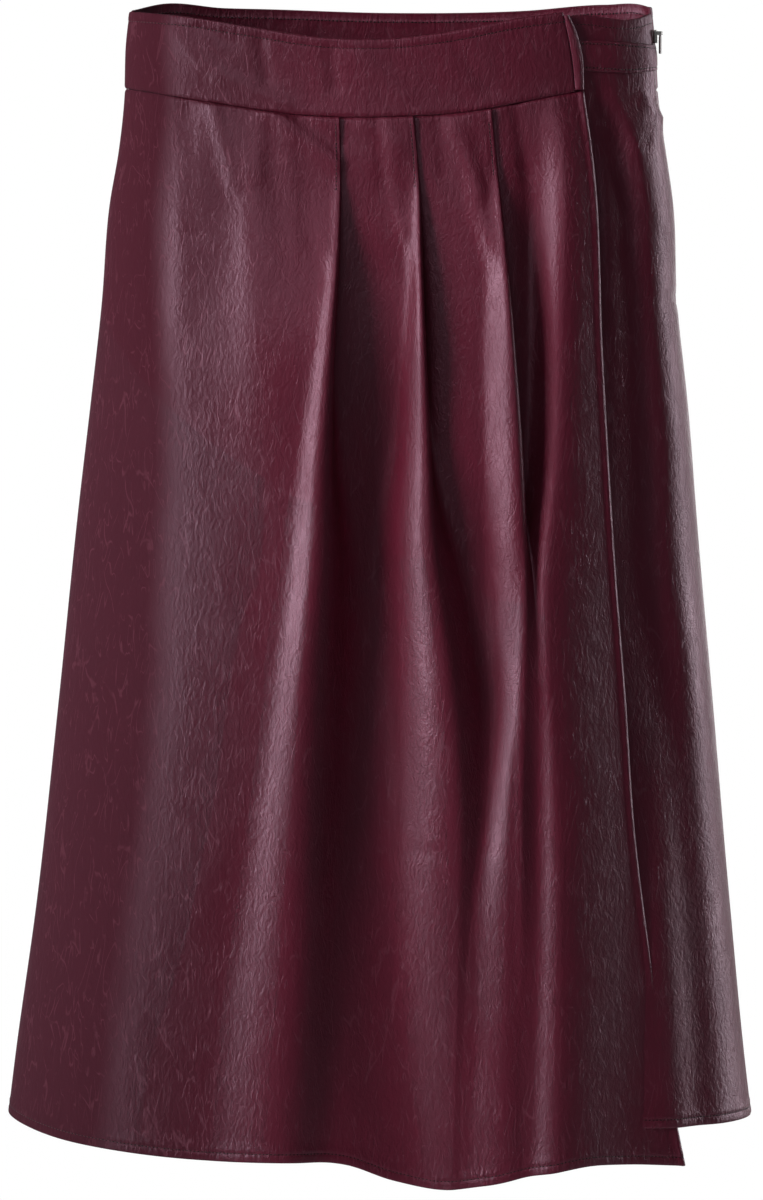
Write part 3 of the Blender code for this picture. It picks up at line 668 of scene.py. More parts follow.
def pleat_path(turn, radius, tuck, share):
    """Travel sideways and outwards through a pleat: it turns under, runs back, and turns again."""
    first = turn * np.clip(share * 3, 0, 1)
    run = tuck * np.clip(share * 3 - 1, 0, 1)
    last = turn * np.clip(share * 3 - 2, 0, 1)
    side = radius * np.sin(first) + run * np.cos(turn)
    out = -radius * (1 - np.cos(first)) - run * np.sin(turn)
    side = side + radius * (np.sin(turn) - np.sin(turn - last))
    out = out - radius * (np.cos(turn - last) - np.cos(turn))
    return side, out


def pleat_angle(index, depth, share):
    """The angle of a place in a pleat, and its height over the valley behind the pleat."""
    across, turn, radius, tuck = pleat_values(index, depth)
    start = front_angle(across - radius * np.sin(np.minimum(turn, math.pi / 2)), depth)
    side, out = pleat_path(turn, radius, tuck, share)
    drop = pleat_path(turn, radius, tuck, 1.0)[1]
    return start + side / ring_speed(start, depth), out - drop


def tuck_angle(index, depth):
    """The angle that a pleat's tuck takes up beneath the cloth on its left."""
    _, turn, radius, tuck = pleat_values(index, depth)
    flat = ease((turn - OPEN_TURN) / (math.pi - OPEN_TURN))
    reach = np.maximum(-(tuck + 2 * radius) * np.cos(turn), 0) * flat
    return reach / ring_speed(pleat_angle(index, depth, 0.0)[0], depth)


def overlay_angle(station, depth):
    """The angle and height at one stretch's stations: 0 to 1 is a stretch, 1 to 2 the first pleat."""
    stretch = min(int(np.min(station)), 2 * len(PLEATS))
    index = stretch // 2
    share = station - stretch
    if stretch % 2 == 1:
        return pleat_angle(index, depth, share)
    if stretch == 0:
        start = low_until = seam_angle(LEFT_SEAM, SEAM_GAP / 2)(depth)
    else:
        start = pleat_angle(index - 1, depth, 1.0)[0]
        low_until = start + tuck_angle(index - 1, depth)
    if stretch == 2 * len(PLEATS):
        end = upright(OVERLAY_EDGE)(depth)
        return start + (end - start) * share, 0 * depth
    end, high = pleat_angle(index, depth, 0.0)
    high_from = end - tuck_angle(index, depth)
    angle = start + (end - start) * share
    broad_across, broad, steep = curves(RISES[index], RISE_COLUMNS, depth)
    broad_from = front_angle(broad_across, depth)
    steep_from = high_from - steep / ring_speed(end, depth)
    rise = 0
    for begin, part in ((broad_from, broad), (steep_from, 1 - broad)):
        begin = np.maximum(begin, low_until)
        rise = rise + part * ease((angle - begin) / (high_from - begin))
    return angle, high * rise


def layer_lift(across):
    """How far the wrap stands off the ring, so that it clears the underlay."""
    return LAYER_LIFT * ease((across - LIFT_STARTS) / (LIFT_FULL - LIFT_STARTS))


def upright(rows, move=0.0):
    """A front edge that runs down, as an angle at each depth, moved a little across."""
    return lambda depth: front_angle(curve(rows, UPRIGHT_COLUMNS, "across", depth) + move, depth)


def seam_angle(angle, move):
    """A side seam as an angle at each depth, moved a little round the ring."""
    return lambda depth: angle + move / ring_speed(angle, depth)


def edge_depth(rows, move, across_at):
    """How deep an edge crosses a line down the skirt, whose place across is known at each depth."""
    depth = rows[0][1]
    for _ in range(4):
        depth = curve(rows, EDGE_COLUMNS, "depth", across_at(depth)) + move
    return depth


def rolled(distance, drop, width):
    """How far an edge rolls in, at a distance from it."""
    return -drop * (1 - ease(distance / width)) ** 2


def seam_roll(distance):
    """How far a seamed edge rolls in."""
    return rolled(distance, SEAM_ROLL, SEAM_ROLL_WIDTH)


def edge_roll(distance):
    """How far a free edge rolls in."""
    return rolled(distance, EDGE_ROLL, EDGE_ROLL_WIDTH)


def turned(distance, turning, margin):
    """How far a turned and stitched edge stands out, at a distance in from it."""
    bulge = TURN_BULGE * ease((turning + TURN_SLOPE - distance) / TURN_SLOPE)
    groove = (GROOVE_DEPTH + TURN_BULGE / 2) * near(distance - margin, GROOVE_WIDTH)
    return bulge - groove + edge_roll(distance)


class Cloth:
    """A cloth's form, on which stations run across and depths run down.

    path gives the angle and the height at some stations and depths. top and foot are an edge's rows and
    how far it is moved down. relief gives the lift and the puckers from the cloth's distances.
    """

    def __init__(self, path, left, right, top, foot, relief):
        self.path, self.relief = path, relief
        self.left, self.right = left, right
        self.top, self.foot = top, foot

    def block(self, stations, shares):
        """Points, puckers and distances: a column for each station, a row for each share of the way down."""

        def across_at(depth):
            return ring(self.path(stations, depth + 0 * stations)[0], depth + 0 * stations)[0]

        start = edge_depth(*self.top, across_at)
        end = edge_depth(*self.foot, across_at)
        depth = start + (end - start) * np.array(shares)[:, None]
        angle, height = self.path(stations, depth)
        speed = ring_speed(angle, depth)
        spots = {
            "station": stations,
            "angle": angle,
            "speed": speed,
            "across": ring(angle, depth)[0],
            "depth": depth,
            "top": depth - start,
            "foot": end - depth,
            "left": (angle - self.left(depth)) * speed,
            "right": (self.right(depth) - angle) * speed,
        }
        lift, spots["pucker"] = self.relief(spots)
        dull_from, dull_full = curves(DULL, DULL_COLUMNS, depth)
        spots["dulled"] = ease((-np.sin(angle) - dull_from) / (dull_full - dull_from))
        # Painted shade: a mask that darkens the colour of the left side
        spots["deepened"] = ease((-np.sin(angle) - LEFT_SHADE_FROM) / (LEFT_SHADE_FULL - LEFT_SHADE_FROM))
        spots["points"] = place(angle, depth, height + lift)
        return spots

    def surface(self, blocks, shares):
        """The cloth's whole surface, from blocks of stations that lie in one stretch each."""
        made = [self.block(np.array(stations), shares) for stations in blocks]
        names = ("points", "pucker", "dulled", "deepened", "depth", "top", "foot")
        known = {name: np.concatenate([block[name] for block in made], axis=1) for name in names}
        return Surface(np.concatenate(blocks), known)


class Surface:
    """A cloth's points in rows down and columns across, and what is known at each of them."""

    def __init__(self, stations, known):
        self.stations = stations
        self.known = known
        self.points = known["points"]
        self.normals = np.cross(np.gradient(self.points, axis=0), np.gradient(self.points, axis=1))
        self.normals /= np.linalg.norm(self.normals, axis=-1, keepdims=True)

    def column(self, number, name, wanted):
        """A point and a normal in a column, where a known distance has a wanted value."""
        known = self.known[name][:, number]
        order = np.argsort(known)
        values = np.concatenate([self.points[order, number], self.normals[order, number]], axis=1)
        found = np.array([np.interp(wanted, known[order], values[:, part]) for part in range(6)])
        return found[:3], found[3:]

    def along(self, side, distance, lift):
        """A line across the cloth at a distance from its top or foot, and its normals."""
        found = [self.column(number, side, distance) for number in range(len(self.stations))]
        points, normals = (np.array(part) for part in zip(*found))
        return points + normals * lift, normals * np.sign(lift)

    def down(self, stations, depths, lift):
        """A line down the cloth through a station at each depth, and its normals."""
        points, normals = [], []
        for station, depth in zip(stations, depths):
            after = int(np.clip(np.searchsorted(self.stations, station), 1, len(self.stations) - 1))
            before = after - 1
            share = (station - self.stations[before]) / (self.stations[after] - self.stations[before])
            first = self.column(before, "depth", depth)
            last = self.column(after, "depth", depth)
            points.append(first[0] * (1 - share) + last[0] * share)
            normals.append(first[1] * (1 - share) + last[1] * share)
        normals = np.array(normals)
        normals /= np.linalg.norm(normals, axis=1, keepdims=True)
        return np.array(points) + normals * lift, normals * np.sign(lift)


def strip_path(starts, ends):
    """The path of a cloth between two upright edges, whose stations run from 0 to 1."""
    return lambda station, depth: (starts(depth) * (1 - station) + ends(depth) * station, 0 * depth)


def stitching():
    """The topstitching's settings."""
    return bpy.context.scene.skirt_stitching


def overlay_relief(spots):
    """The wrap front's folds, creases, seams, turned hem and edge, and edge-stitched pleats."""
    across, depth = spots["across"], spots["depth"]
    lift = layer_lift(across) + folds(OVERLAY_FOLDS, across, depth)
    lift = lift + creases(OVERLAY_CREASES, across, depth)
    stretch = min(int(np.min(spots["station"])), 2 * len(PLEATS))
    on_top = 1.0
    pucker = near(spots["top"], SEAM_PUCKER)
    lip, lip_width = curves(LIP, LIP_COLUMNS, depth)
    if stretch % 2 == 1:
        on_top = 1 - ease((spots["station"] - stretch) * 3)
        lift = lift + lip * on_top
    elif stretch < 2 * len(PLEATS):
        fold = pleat_angle(stretch // 2, depth, 0.0)[0]
        from_fold = (fold - spots["angle"]) * spots["speed"]
        from_stitches = from_fold - stitching().pleat_margin
        stitched = 1 - ease((depth - PLEAT_STITCH_ENDS[stretch // 2]) / PLEAT_STITCH_FADE)
        lift = lift + lip * near(from_fold, lip_width)
        groove = GROOVE_DEPTH * PLEAT_GROOVE_SHARE * near(from_stitches, FINE_GROOVE_WIDTH)
        lift = lift - groove * stitched
        pucker = np.maximum(pucker, near(from_stitches, STITCH_PUCKER) * stitched * PLEAT_PUCKER_SHARE)
    hem_margin = stitching().hem_margin
    lift = lift + turned(spots["foot"], HEM_TURN, hem_margin)
    lift = lift + seam_roll(spots["top"]) * on_top + seam_roll(spots["left"])
    if stretch >= 2 * len(PLEATS):
        lift = lift + edge_roll(spots["right"])
        lift = lift + FREE_EDGE_RIDGE * near(spots["right"] - FREE_EDGE_IN, FREE_EDGE_WIDTH)
    return lift, np.maximum(pucker, near(spots["foot"] - hem_margin, HEM_PUCKER))


def underlay_relief(spots):
    """The underlay's folds, creases, topstitched top edge, turned hem and side seam."""
    across, depth = spots["across"], spots["depth"]
    hem_margin = stitching().hem_margin
    lift = folds(UNDERLAY_FOLDS, across, depth) + creases(UNDERLAY_CREASES, across, depth)
    lift = lift + turned(spots["foot"], HEM_TURN, hem_margin)
    lift = lift + turned(spots["top"], HEM_TURN, stitching().band_margin) * TOP_TURN_SHARE
    lift = lift + seam_roll(spots["right"])
    return lift, np.maximum(near(spots["foot"] - hem_margin, HEM_PUCKER), near(spots["top"], TOP_PUCKER))


def back_relief(spots):
    """The back's folds, creases, seams and turned hem."""
    across, depth = spots["across"], spots["depth"]
    hem_margin = stitching().hem_margin
    lift = folds(BACK_FOLDS, across, depth) + creases(BACK_CREASES, across, depth)
    lift = lift + turned(spots["foot"], HEM_TURN, hem_margin)
    for side in ("top", "left", "right"):
        lift = lift + seam_roll(spots[side])
    return lift, np.maximum(near(spots["foot"] - hem_margin, HEM_PUCKER), near(spots["top"], SEAM_PUCKER))


def band_relief(table, wrap_share):
    """A waistband's creases, topstitched top edge and seams, on the wrap's lift."""

    def relief(spots):
        margin = stitching().band_margin
        across, depth, top, foot = (spots[name] for name in ("across", "depth", "top", "foot"))
        inside = ease(top / CALM_EDGE) * ease(foot / CALM_EDGE)
        lift = layer_lift(across) * wrap_share
        lift = lift + creases(table, across, depth) * (CALM_SHARE + (1 - CALM_SHARE) * inside)
        lift = lift + turned(top, margin, margin) + seam_roll(foot)
        lift = lift + seam_roll(spots["left"]) + edge_roll(spots["right"])
        at_foot = BAND_FOOT_PUCKER_SHARE * near(foot, HEM_PUCKER)
        return lift, np.maximum(near(top - margin / 2, BAND_PUCKER), at_foot)

    return relief


def strap_relief(spots):
    """A strap stitched along both its edges, lying on the underlay."""
    margin = stitching().strap_margin
    lift = STRAP_LIFT + 0 * spots["depth"]
    for side in ("top", "foot"):
        lift = lift + edge_roll(spots[side])
        lift = lift - GROOVE_DEPTH * near(spots[side] - margin, FINE_GROOVE_WIDTH)
    lift = lift + seam_roll(spots["right"])
    lift = lift + STRAP_HUMP * near((spots["top"] - spots["foot"]) / 2, STRAP_HUMP_WIDTH)
    return lift, near(spots["top"], STITCH_PUCKER) + near(spots["foot"], STITCH_PUCKER)


def loop_relief(spots):
    """A rounded loop that stands over the strap."""
    share = np.clip(spots["left"] / (spots["left"] + spots["right"]), 0, 1)
    hump = LOOP_HUMP * np.sin(math.pi * share) ** LOOP_ROUNDNESS
    return STRAP_LIFT + STRAP_WALL + SEAM_GAP + hump, LOOP_PUCKER_SHARE * near(spots["foot"], HEM_PUCKER)


def tape_relief(spots):
    """The zip's flat tape, inside the side seam."""
    level = 0 * spots["depth"]
    return level - (BAND_WALL / 2 + 2 * SEAM_GAP + TAPE_WALL / 2), level


def make_cloths():
    """The skirt's cloths by name."""
    half_gap = SEAM_GAP / 2
    left_start, right_end = seam_angle(LEFT_SEAM, half_gap), seam_angle(RIGHT_SEAM, -half_gap)
    back = (seam_angle(RIGHT_SEAM, half_gap), seam_angle(LEFT_SEAM + 2 * math.pi, -half_gap))
    tape = (seam_angle(RIGHT_SEAM, -TAPE_HALF_WIDTH), seam_angle(RIGHT_SEAM, TAPE_HALF_WIDTH))
    strap = (upright(BAND_END, STRAP_TUCK), seam_angle(RIGHT_SEAM, -SEAM_GAP))
    loop = (upright(BAND_END, SEAM_GAP), upright(LOOP_EDGE))
    overlay_end, underlay_start = upright(OVERLAY_EDGE), upright(UNDERLAY_EDGE)
    front_foot, back_foot = (FRONT_SEAM, -half_gap), (BACK_SEAM, -half_gap)
    front_relief = band_relief(FRONT_BAND_CREASES, BAND_LIFT)
    # Each cloth's left and right edges, its top and foot, and its relief
    shapes = {
        "overlay": (left_start, overlay_end, (FRONT_SEAM, half_gap), (OVERLAY_HEM, 0), overlay_relief),
        "underlay": (underlay_start, right_end, (UNDERLAY_TOP, 0), (UNDERLAY_HEM, 0), underlay_relief),
        "back": (*back, (BACK_SEAM, half_gap), (BACK_HEM, 0), back_relief),
        "front_band": (left_start, upright(BAND_END), (FRONT_TOP, 0), front_foot, front_relief),
        "back_band": (*back, (BACK_TOP, 0), back_foot, band_relief(BACK_BAND_CREASES, 0.0)),
        "strap": (*strap, (STRAP_TOP, 0), (STRAP_FOOT, 0), strap_relief),
        "loop": (*loop, (LOOP_TOP, 0), (LOOP_FOOT, 0), loop_relief),
        "zip_tape": (*tape, (ZIP_TOP, 0), (ZIP_FOOT, 0), tape_relief),
    }
    cloths = {}
    for name, (left, right, top, foot, relief) in shapes.items():
        path = overlay_angle if name == "overlay" else strip_path(left, right)
        cloths[name] = Cloth(path, left, right, top, foot, relief)
    return cloths


def edged_shares(length, near_start, near_end, count):
    """Shares of the way along a length, with extra ones at fixed distances from either end."""
    middle = np.linspace(near_start[-1], length - near_end[-1], count)
    ends = length - np.flip(np.array(near_end[:-1]))
    return np.concatenate([near_start[:-1], middle, ends]) / length


def overlay_blocks():
    """The wrap front's stations, in a block for each stretch and pleat, closer together next to folds."""
    length, count = OVERLAY_STRETCHES[0]
    blocks = [edged_shares(length, NEAR_EDGE, NEAR_FOLD, count)[:-1]]
    for index, (length, count) in enumerate(OVERLAY_STRETCHES[1:]):
        blocks.append(2 * index + 1 + np.arange(PLEAT_POINTS) / PLEAT_POINTS)
        last = index == len(PLEATS) - 1
        shares = edged_shares(length, NEAR_FOLD[:2], NEAR_EDGE if last else NEAR_FOLD, count)
        blocks.append(2 * index + 2 + (shares if last else shares[:-1]))
    return blocks


def make_surface(name):
    """The surface of a plain cloth by its name."""
    across, down = GRIDS[name]
    return make_cloths()[name].surface([edged_shares(*across)], edged_shares(*down))


def grid_faces(rows, columns, first, flipped):
    """The faces of a grid of points that starts at a vertex number."""
    corner = (np.arange(rows - 1)[:, None] * columns + np.arange(columns - 1)[None, :]).ravel() + first
    faces = np.stack([corner, corner + columns, corner + columns + 1, corner + 1], axis=1)
    return faces[:, ::-1] if flipped else faces


def add_mesh(name, points, faces, materials, material_index=None):
    """A smooth mesh object."""
    mesh = bpy.data.meshes.new(name)
    mesh.from_pydata(np.asarray(points).tolist(), [], [list(map(int, face)) for face in faces])
    for material in materials:
        mesh.materials.append(material)
    if material_index is not None:
        mesh.polygons.foreach_set("material_index", material_index)
    mesh.shade_smooth()
    made = bpy.data.objects.new(name, mesh)
    bpy.context.scene.collection.objects.link(made)
    return made


def wall_mesh(name, surface, wall, materials):
    """A closed wall through a surface, thinner at its edges, with an outer and an inner finish."""
    rows, columns = surface.points.shape[:2]
    thickness = np.full((rows, columns), wall)
    for edge in (np.s_[0, :], np.s_[-1, :], np.s_[:, 0], np.s_[:, -1]):
        thickness[edge] = wall * EDGE_THINNING
    offset = surface.normals * thickness[..., None] / 2
    count = rows * columns
    outside, inside = surface.points + offset, surface.points - offset
    points = np.concatenate([outside.reshape(-1, 3), inside.reshape(-1, 3)])
    order = np.arange(count).reshape(rows, columns)
    border = np.concatenate([order[0, :-1], order[:-1, -1], order[-1, :0:-1], order[:0:-1, 0]])
    after = np.roll(border, -1)
    rim = np.stack([border, after, after + count, border + count], axis=1)
    outer = grid_faces(rows, columns, 0, False)
    inner = grid_faces(rows, columns, count, True)
    faces = np.concatenate([outer, inner, rim])
    finish = np.zeros(len(faces), int)
    finish[len(outer) : len(outer) + len(inner)] = len(materials) - 1
    made = add_mesh(name, points, faces, materials, finish)
    for mask in ("pucker", "dulled", "deepened"):
        values = np.tile(surface.known[mask].reshape(-1), 2).astype(np.float32)
        made.data.attributes.new(mask, "FLOAT", "POINT").data.foreach_set("value", values)
    return made


def dress(name, piece):
    """Rides a cloth on the skirt in place of its solid."""
    node, slot, _, held, rests_on = PIECES[name]
    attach(piece, "skirt")
    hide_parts(node)


def make_piece(name, surface, leather, lines=()):
    """A leather cloth, with stitches along lines of points and normals."""
    _, slot, wall, _, _ = PIECES[name]
    materials = [leather]
    if wall == PANEL_WALL:
        materials.append(shared("woven_backing", backing_material))
    piece = wall_mesh(name + "_cloth", surface, wall, materials)
    sewn = [add_stitching(name + "_stitching", lines).name] if lines else []
    dress(name, piece)

def node_group(name, inputs, outputs):
    """A new shader node group with named sockets, and its input and output nodes."""
    group = bpy.data.node_groups.new(name, "ShaderNodeTree")
    for socket, kind, default in inputs:
        made = group.interface.new_socket(socket, in_out="INPUT", socket_type=kind)
        made.default_value = default
    for socket, kind in outputs:
        group.interface.new_socket(socket, in_out="OUTPUT", socket_type=kind)
    return group, group.nodes.new("NodeGroupInput").outputs, group.nodes.new("NodeGroupOutput").inputs


def put(tree, kind, inputs, **settings):
    """Adds a node and fills its inputs, by name or number, with values or other nodes' outputs."""
    node = tree.nodes.new(kind)
    for key, value in settings.items():
        setattr(node, key, value)
    for key, value in inputs.items():
        if isinstance(value, bpy.types.NodeSocket):
            tree.links.new(value, node.inputs[key])
        else:
            node.inputs[key].default_value = value
    return node


def reckon(tree, operation, first, second=0.0, third=0.0):
    """The output of a math node."""
    node = put(tree, "ShaderNodeMath", {0: first, 1: second, 2: third}, operation=operation)
    return node.outputs[0]


def blend_colour(tree, share, first, second):
    """The output of a colour mix."""
    node = tree.nodes.new("ShaderNodeMix")
    node.data_type = "RGBA"
    for socket, value in ((node.inputs[0], share), (node.inputs[6], first), (node.inputs[7], second)):
        if isinstance(value, bpy.types.NodeSocket):
            tree.links.new(value, socket)
        else:
            socket.default_value = value
    return node.outputs[2]


def remap(tree, value, low, high, to_low, to_high):
    """The output of a smooth map range node, clamped."""
    node = put(
        tree,
        "ShaderNodeMapRange",
        {0: value, 1: low, 2: high, 3: to_low, 4: to_high},
        interpolation_type="SMOOTHSTEP",
    )
    return node.outputs[0]


def noise(tree, place_at, scale, detail, roughness=0.5):
    """A noise texture's value, with one scale or a scale for each axis."""
    if isinstance(scale, tuple):
        spread = {0: place_at, 1: scale}
        place_at = put(tree, "ShaderNodeVectorMath", spread, operation="MULTIPLY").outputs[0]
        scale = 1.0
    inputs = {"Vector": place_at, "Scale": scale, "Detail": detail, "Roughness": roughness}
    return put(tree, "ShaderNodeTexNoise", inputs).outputs["Fac"]


def mask_value(tree, name):
    """A mask that is kept on the cloth's points."""
    return put(tree, "ShaderNodeAttribute", {}, attribute_name=name).outputs["Fac"]


def add_bump(tree, shader, height, strength=1.0, distance=1.0):
    """Bends the shader's normal by a height in metres."""
    bump = put(tree, "ShaderNodeBump", {"Strength": strength, "Distance": distance, "Height": height})
    tree.links.new(bump.outputs["Normal"], shader.inputs["Normal"])


def add_shades(tree, shader, share, colour, darkest):
    """Colours the shader from a dark shade of a colour to the colour itself."""
    dark = tuple(part * darkest for part in colour)
    tree.links.new(blend_colour(tree, share, (*dark, 1), (*colour, 1)), shader.inputs["Base Color"])


def grain_group():
    """Coated leather's relief in metres, its hairline creases and its mottling."""
    group, given, result = node_group(
        "coated_grain",
        (
            ("Place", "NodeSocketVector", (0, 0, 0)),
            ("Pucker", "NodeSocketFloat", 0.0),
            ("Pebble Height", "NodeSocketFloat", 0.00002),
            ("Hairline Depth", "NodeSocketFloat", 0.00006),
            ("Crinkle Height", "NodeSocketFloat", 0.00008),
            ("Ripple Height", "NodeSocketFloat", 0.0002),
            ("Pucker Height", "NodeSocketFloat", 0.0003),
        ),
        (("Height", "NodeSocketFloat"), ("Hairlines", "NodeSocketFloat"), ("Mottle", "NodeSocketFloat")),
    )
    place_at = given["Place"]
    warp = put(group, "ShaderNodeTexNoise", {"Vector": place_at, "Scale": 55.0, "Detail": 3.0})
    warped = {0: warp.outputs["Color"], 1: (0.012, 0.012, 0.012), 2: place_at}
    drift = put(group, "ShaderNodeVectorMath", warped, operation="MULTIPLY_ADD").outputs[0]
    lines = []
    for tilt, scale, width in HAIRLINES:
        leaning = {"Vector": place_at, "Angle": tilt}
        lean = put(group, "ShaderNodeVectorRotate", leaning, rotation_type="Y_AXIS").outputs[0]
        waves = noise(group, lean, scale, 1.0)
        from_line = reckon(group, "ABSOLUTE", reckon(group, "SUBTRACT", waves, 0.5))
        line = remap(group, from_line, 0.0, width, 1.0, 0.0)
        patch = noise(group, place_at, 75.0 + 60.0 * tilt, 3.0)
        lines.append(reckon(group, "MULTIPLY", line, remap(group, patch, 0.46, 0.60, 0.0, 1.0)))
    hairlines = reckon(group, "MAXIMUM", reckon(group, "MAXIMUM", lines[0], lines[1]), lines[2])
    group.links.new(hairlines, result["Hairlines"])
    pebble = noise(group, place_at, (1100, 1100, 620), 2.0)
    crinkle = noise(group, drift, (400, 400, 190), 3.0, 0.6)
    ripple = noise(group, drift, (85, 85, 26), 4.0, 0.6)
    gather = noise(group, place_at, (420, 420, 60), 2.0)
    height = reckon(group, "MULTIPLY", pebble, given["Pebble Height"])
    height = reckon(group, "MULTIPLY_ADD", crinkle, given["Crinkle Height"], height)
    height = reckon(group, "MULTIPLY_ADD", ripple, given["Ripple Height"], height)
    grooves = reckon(group, "MULTIPLY", hairlines, given["Hairline Depth"])
    height = reckon(group, "SUBTRACT", height, grooves)
    puckers = reckon(group, "MULTIPLY", gather, given["Pucker"])
    height = reckon(group, "MULTIPLY_ADD", puckers, given["Pucker Height"], height)
    group.links.new(height, result["Height"])
    mottle = noise(group, drift, (30, 30, 12), 5.0, 0.62)
    group.links.new(remap(group, mottle, 0.32, 0.68, 0.0, 1.0), result["Mottle"])
    return group


def weave_group():
    """A plain weave's relief in metres and its shade."""
    group, given, result = node_group(
        "plain_weave",
        (
            ("Place", "NodeSocketVector", (0, 0, 0)),
            ("Threads Per Metre", "NodeSocketFloat", 1800.0),
            ("Thread Height", "NodeSocketFloat", 0.00008),
        ),
        (("Height", "NodeSocketFloat"), ("Shade", "NodeSocketFloat")),
    )
    parts = put(group, "ShaderNodeSeparateXYZ", {0: given["Place"]}).outputs
    angle = reckon(group, "MULTIPLY", given["Threads Per Metre"], math.pi)
    round_skirt = reckon(group, "ADD", parts["X"], parts["Y"])
    waves = []
    for where in (round_skirt, parts["Z"]):
        waves.append(reckon(group, "SINE", reckon(group, "MULTIPLY", where, angle)))
    weave = reckon(group, "MULTIPLY", waves[0], waves[1])
    group.links.new(reckon(group, "MULTIPLY", weave, given["Thread Height"]), result["Height"])
    fuzz = noise(group, given["Place"], 240.0, 3.0)
    shade = reckon(group, "MULTIPLY_ADD", weave, 0.25, fuzz)
    group.links.new(remap(group, shade, 0.15, 0.85, 0.0, 1.0), result["Shade"])
    return group


def place_group(name, maker):
    """A node group, built the first time that it is asked for."""
    return bpy.data.node_groups.get(name) or maker()


def surface_place(tree):
    """Coordinates in metres that stay on the skirt."""
    return tree.nodes.new("ShaderNodeTexCoord").outputs["Object"]


def new_material(name, colour):
    """A material with its node tree and its Principled shader."""
    made = bpy.data.materials.new(name)
    made.use_nodes = True
    made.diffuse_color = (*colour, 1.0)
    return made, made.node_tree, made.node_tree.nodes["Principled BSDF"]


def leather_material(name, tone=1.0):
    """Glossy coated leather: mottled colour, lighter hairline creases, a soft uneven shine, and painted
    shade darkening its left side.
    """
    looks = bpy.context.scene.skirt_leather
    made, tree, shader = new_material(name, looks.colour)
    given = {
        "Place": surface_place(tree),
        "Pucker": mask_value(tree, "pucker"),
        "Pebble Height": looks.pebble_height,
        "Hairline Depth": looks.hairline_depth,
        "Crinkle Height": looks.crinkle_height,
        "Ripple Height": looks.ripple_height,
        "Pucker Height": looks.pucker_height,
    }
    group = place_group("coated_grain", grain_group)
    grain = put(tree, "ShaderNodeGroup", given, node_tree=group).outputs
    colours = (looks.colour, looks.mottle_and_shade_colour, looks.hairline_colour)
    base, deep, line = (tuple(part * tone for part in colour) for colour in colours)
    middle_tone = tuple((low + 2 * high) / 3 for low, high in zip(deep, base))
    body = blend_colour(tree, grain["Mottle"], (*middle_tone, 1), (*base, 1))
    # Painted shade: the left side's colour is blended towards the dark colour
    painted_shade = reckon(tree, "MULTIPLY", mask_value(tree, "deepened"), looks.left_side_shade)
    body = blend_colour(tree, painted_shade, body, (*deep, 1))
    shown = reckon(tree, "MULTIPLY", grain["Hairlines"], looks.hairline_show)
    tree.links.new(blend_colour(tree, shown, body, (*line, 1)), shader.inputs["Base Color"])
    shine = remap(tree, grain["Mottle"], 0.0, 1.0, looks.roughness + 0.05, looks.roughness - 0.03)
    shine = reckon(tree, "MULTIPLY_ADD", mask_value(tree, "dulled"), looks.side_dullness, shine)
    shine = reckon(tree, "MULTIPLY_ADD", grain["Hairlines"], 0.10, shine)
    tree.links.new(shine, shader.inputs["Roughness"])
    add_bump(tree, shader, grain["Height"])
    shader.inputs["Specular IOR Level"].default_value = looks.specular
    shader.inputs["Specular Tint"].default_value = (*looks.shine_colour, 1)
    return made


def weave_material(name, colour, darkest, threads, roughness, sheen):
    """Plain woven cloth. threads gives how many lie in a metre, and their height."""
    made, tree, shader = new_material(name, colour)
    given = {
        "Place": surface_place(tree),
        "Threads Per Metre": threads[0],
        "Thread Height": threads[1],
    }
    group = place_group("plain_weave", weave_group)
    weave = put(tree, "ShaderNodeGroup", given, node_tree=group).outputs
    add_shades(tree, shader, weave["Shade"], colour, darkest)
    add_bump(tree, shader, weave["Height"])
    shader.inputs["Roughness"].default_value = roughness
    shader.inputs["Sheen Weight"].default_value = sheen
    return made


def backing_material():
    """The leather's woven backing, which shows inside the skirt."""
    colour = bpy.context.scene.skirt_leather.backing_colour
    return weave_material("woven_backing", colour, 0.6, (1800.0, 0.00008), 0.85, 0.15)


def thread_material(name, colour, roughness):
    """Twisted sewing thread, or the painted shade of the needle holes."""
    made, tree, shader = new_material(name, colour)
    add_shades(tree, shader, noise(tree, surface_place(tree), 1400.0, 2.0), colour, 0.6)
    shader.inputs["Roughness"].default_value = roughness
    return made


def metal_material():
    """Satin zip metal with fine scratches."""
    colour = bpy.context.scene.skirt_zip.metal_colour
    made, tree, shader = new_material("satin_metal", colour)
    scratches = noise(tree, surface_place(tree), (3000, 3000, 400), 3.0)
    add_shades(tree, shader, scratches, colour, 0.75)
    tree.links.new(remap(tree, scratches, 0.3, 0.7, 0.28, 0.42), shader.inputs["Roughness"])
    shader.inputs["Metallic"].default_value = 1.0
    return made


def paint_material():
    """Burgundy paint on the pull tab, a little uneven."""
    colour = bpy.context.scene.skirt_zip.paint_colour
    made, tree, shader = new_material("burgundy_paint", colour)
    uneven = noise(tree, surface_place(tree), 900.0, 3.0)
    add_shades(tree, shader, uneven, colour, 0.8)
    tree.links.new(remap(tree, uneven, 0.3, 0.7, 0.32, 0.45), shader.inputs["Roughness"])
    add_bump(tree, shader, uneven, 0.3, 0.00003)
    return made


def tape_material():
    """The zip's woven tape."""
    colour = bpy.context.scene.skirt_zip.tape_colour
    return weave_material("zip_tape_weave", colour, 0.55, (2400.0, 0.00006), 0.8, 0.0)


def shared(name, maker, *given):
    """A material, made the first time that it is asked for."""
    return bpy.data.materials.get(name) or maker(*given)


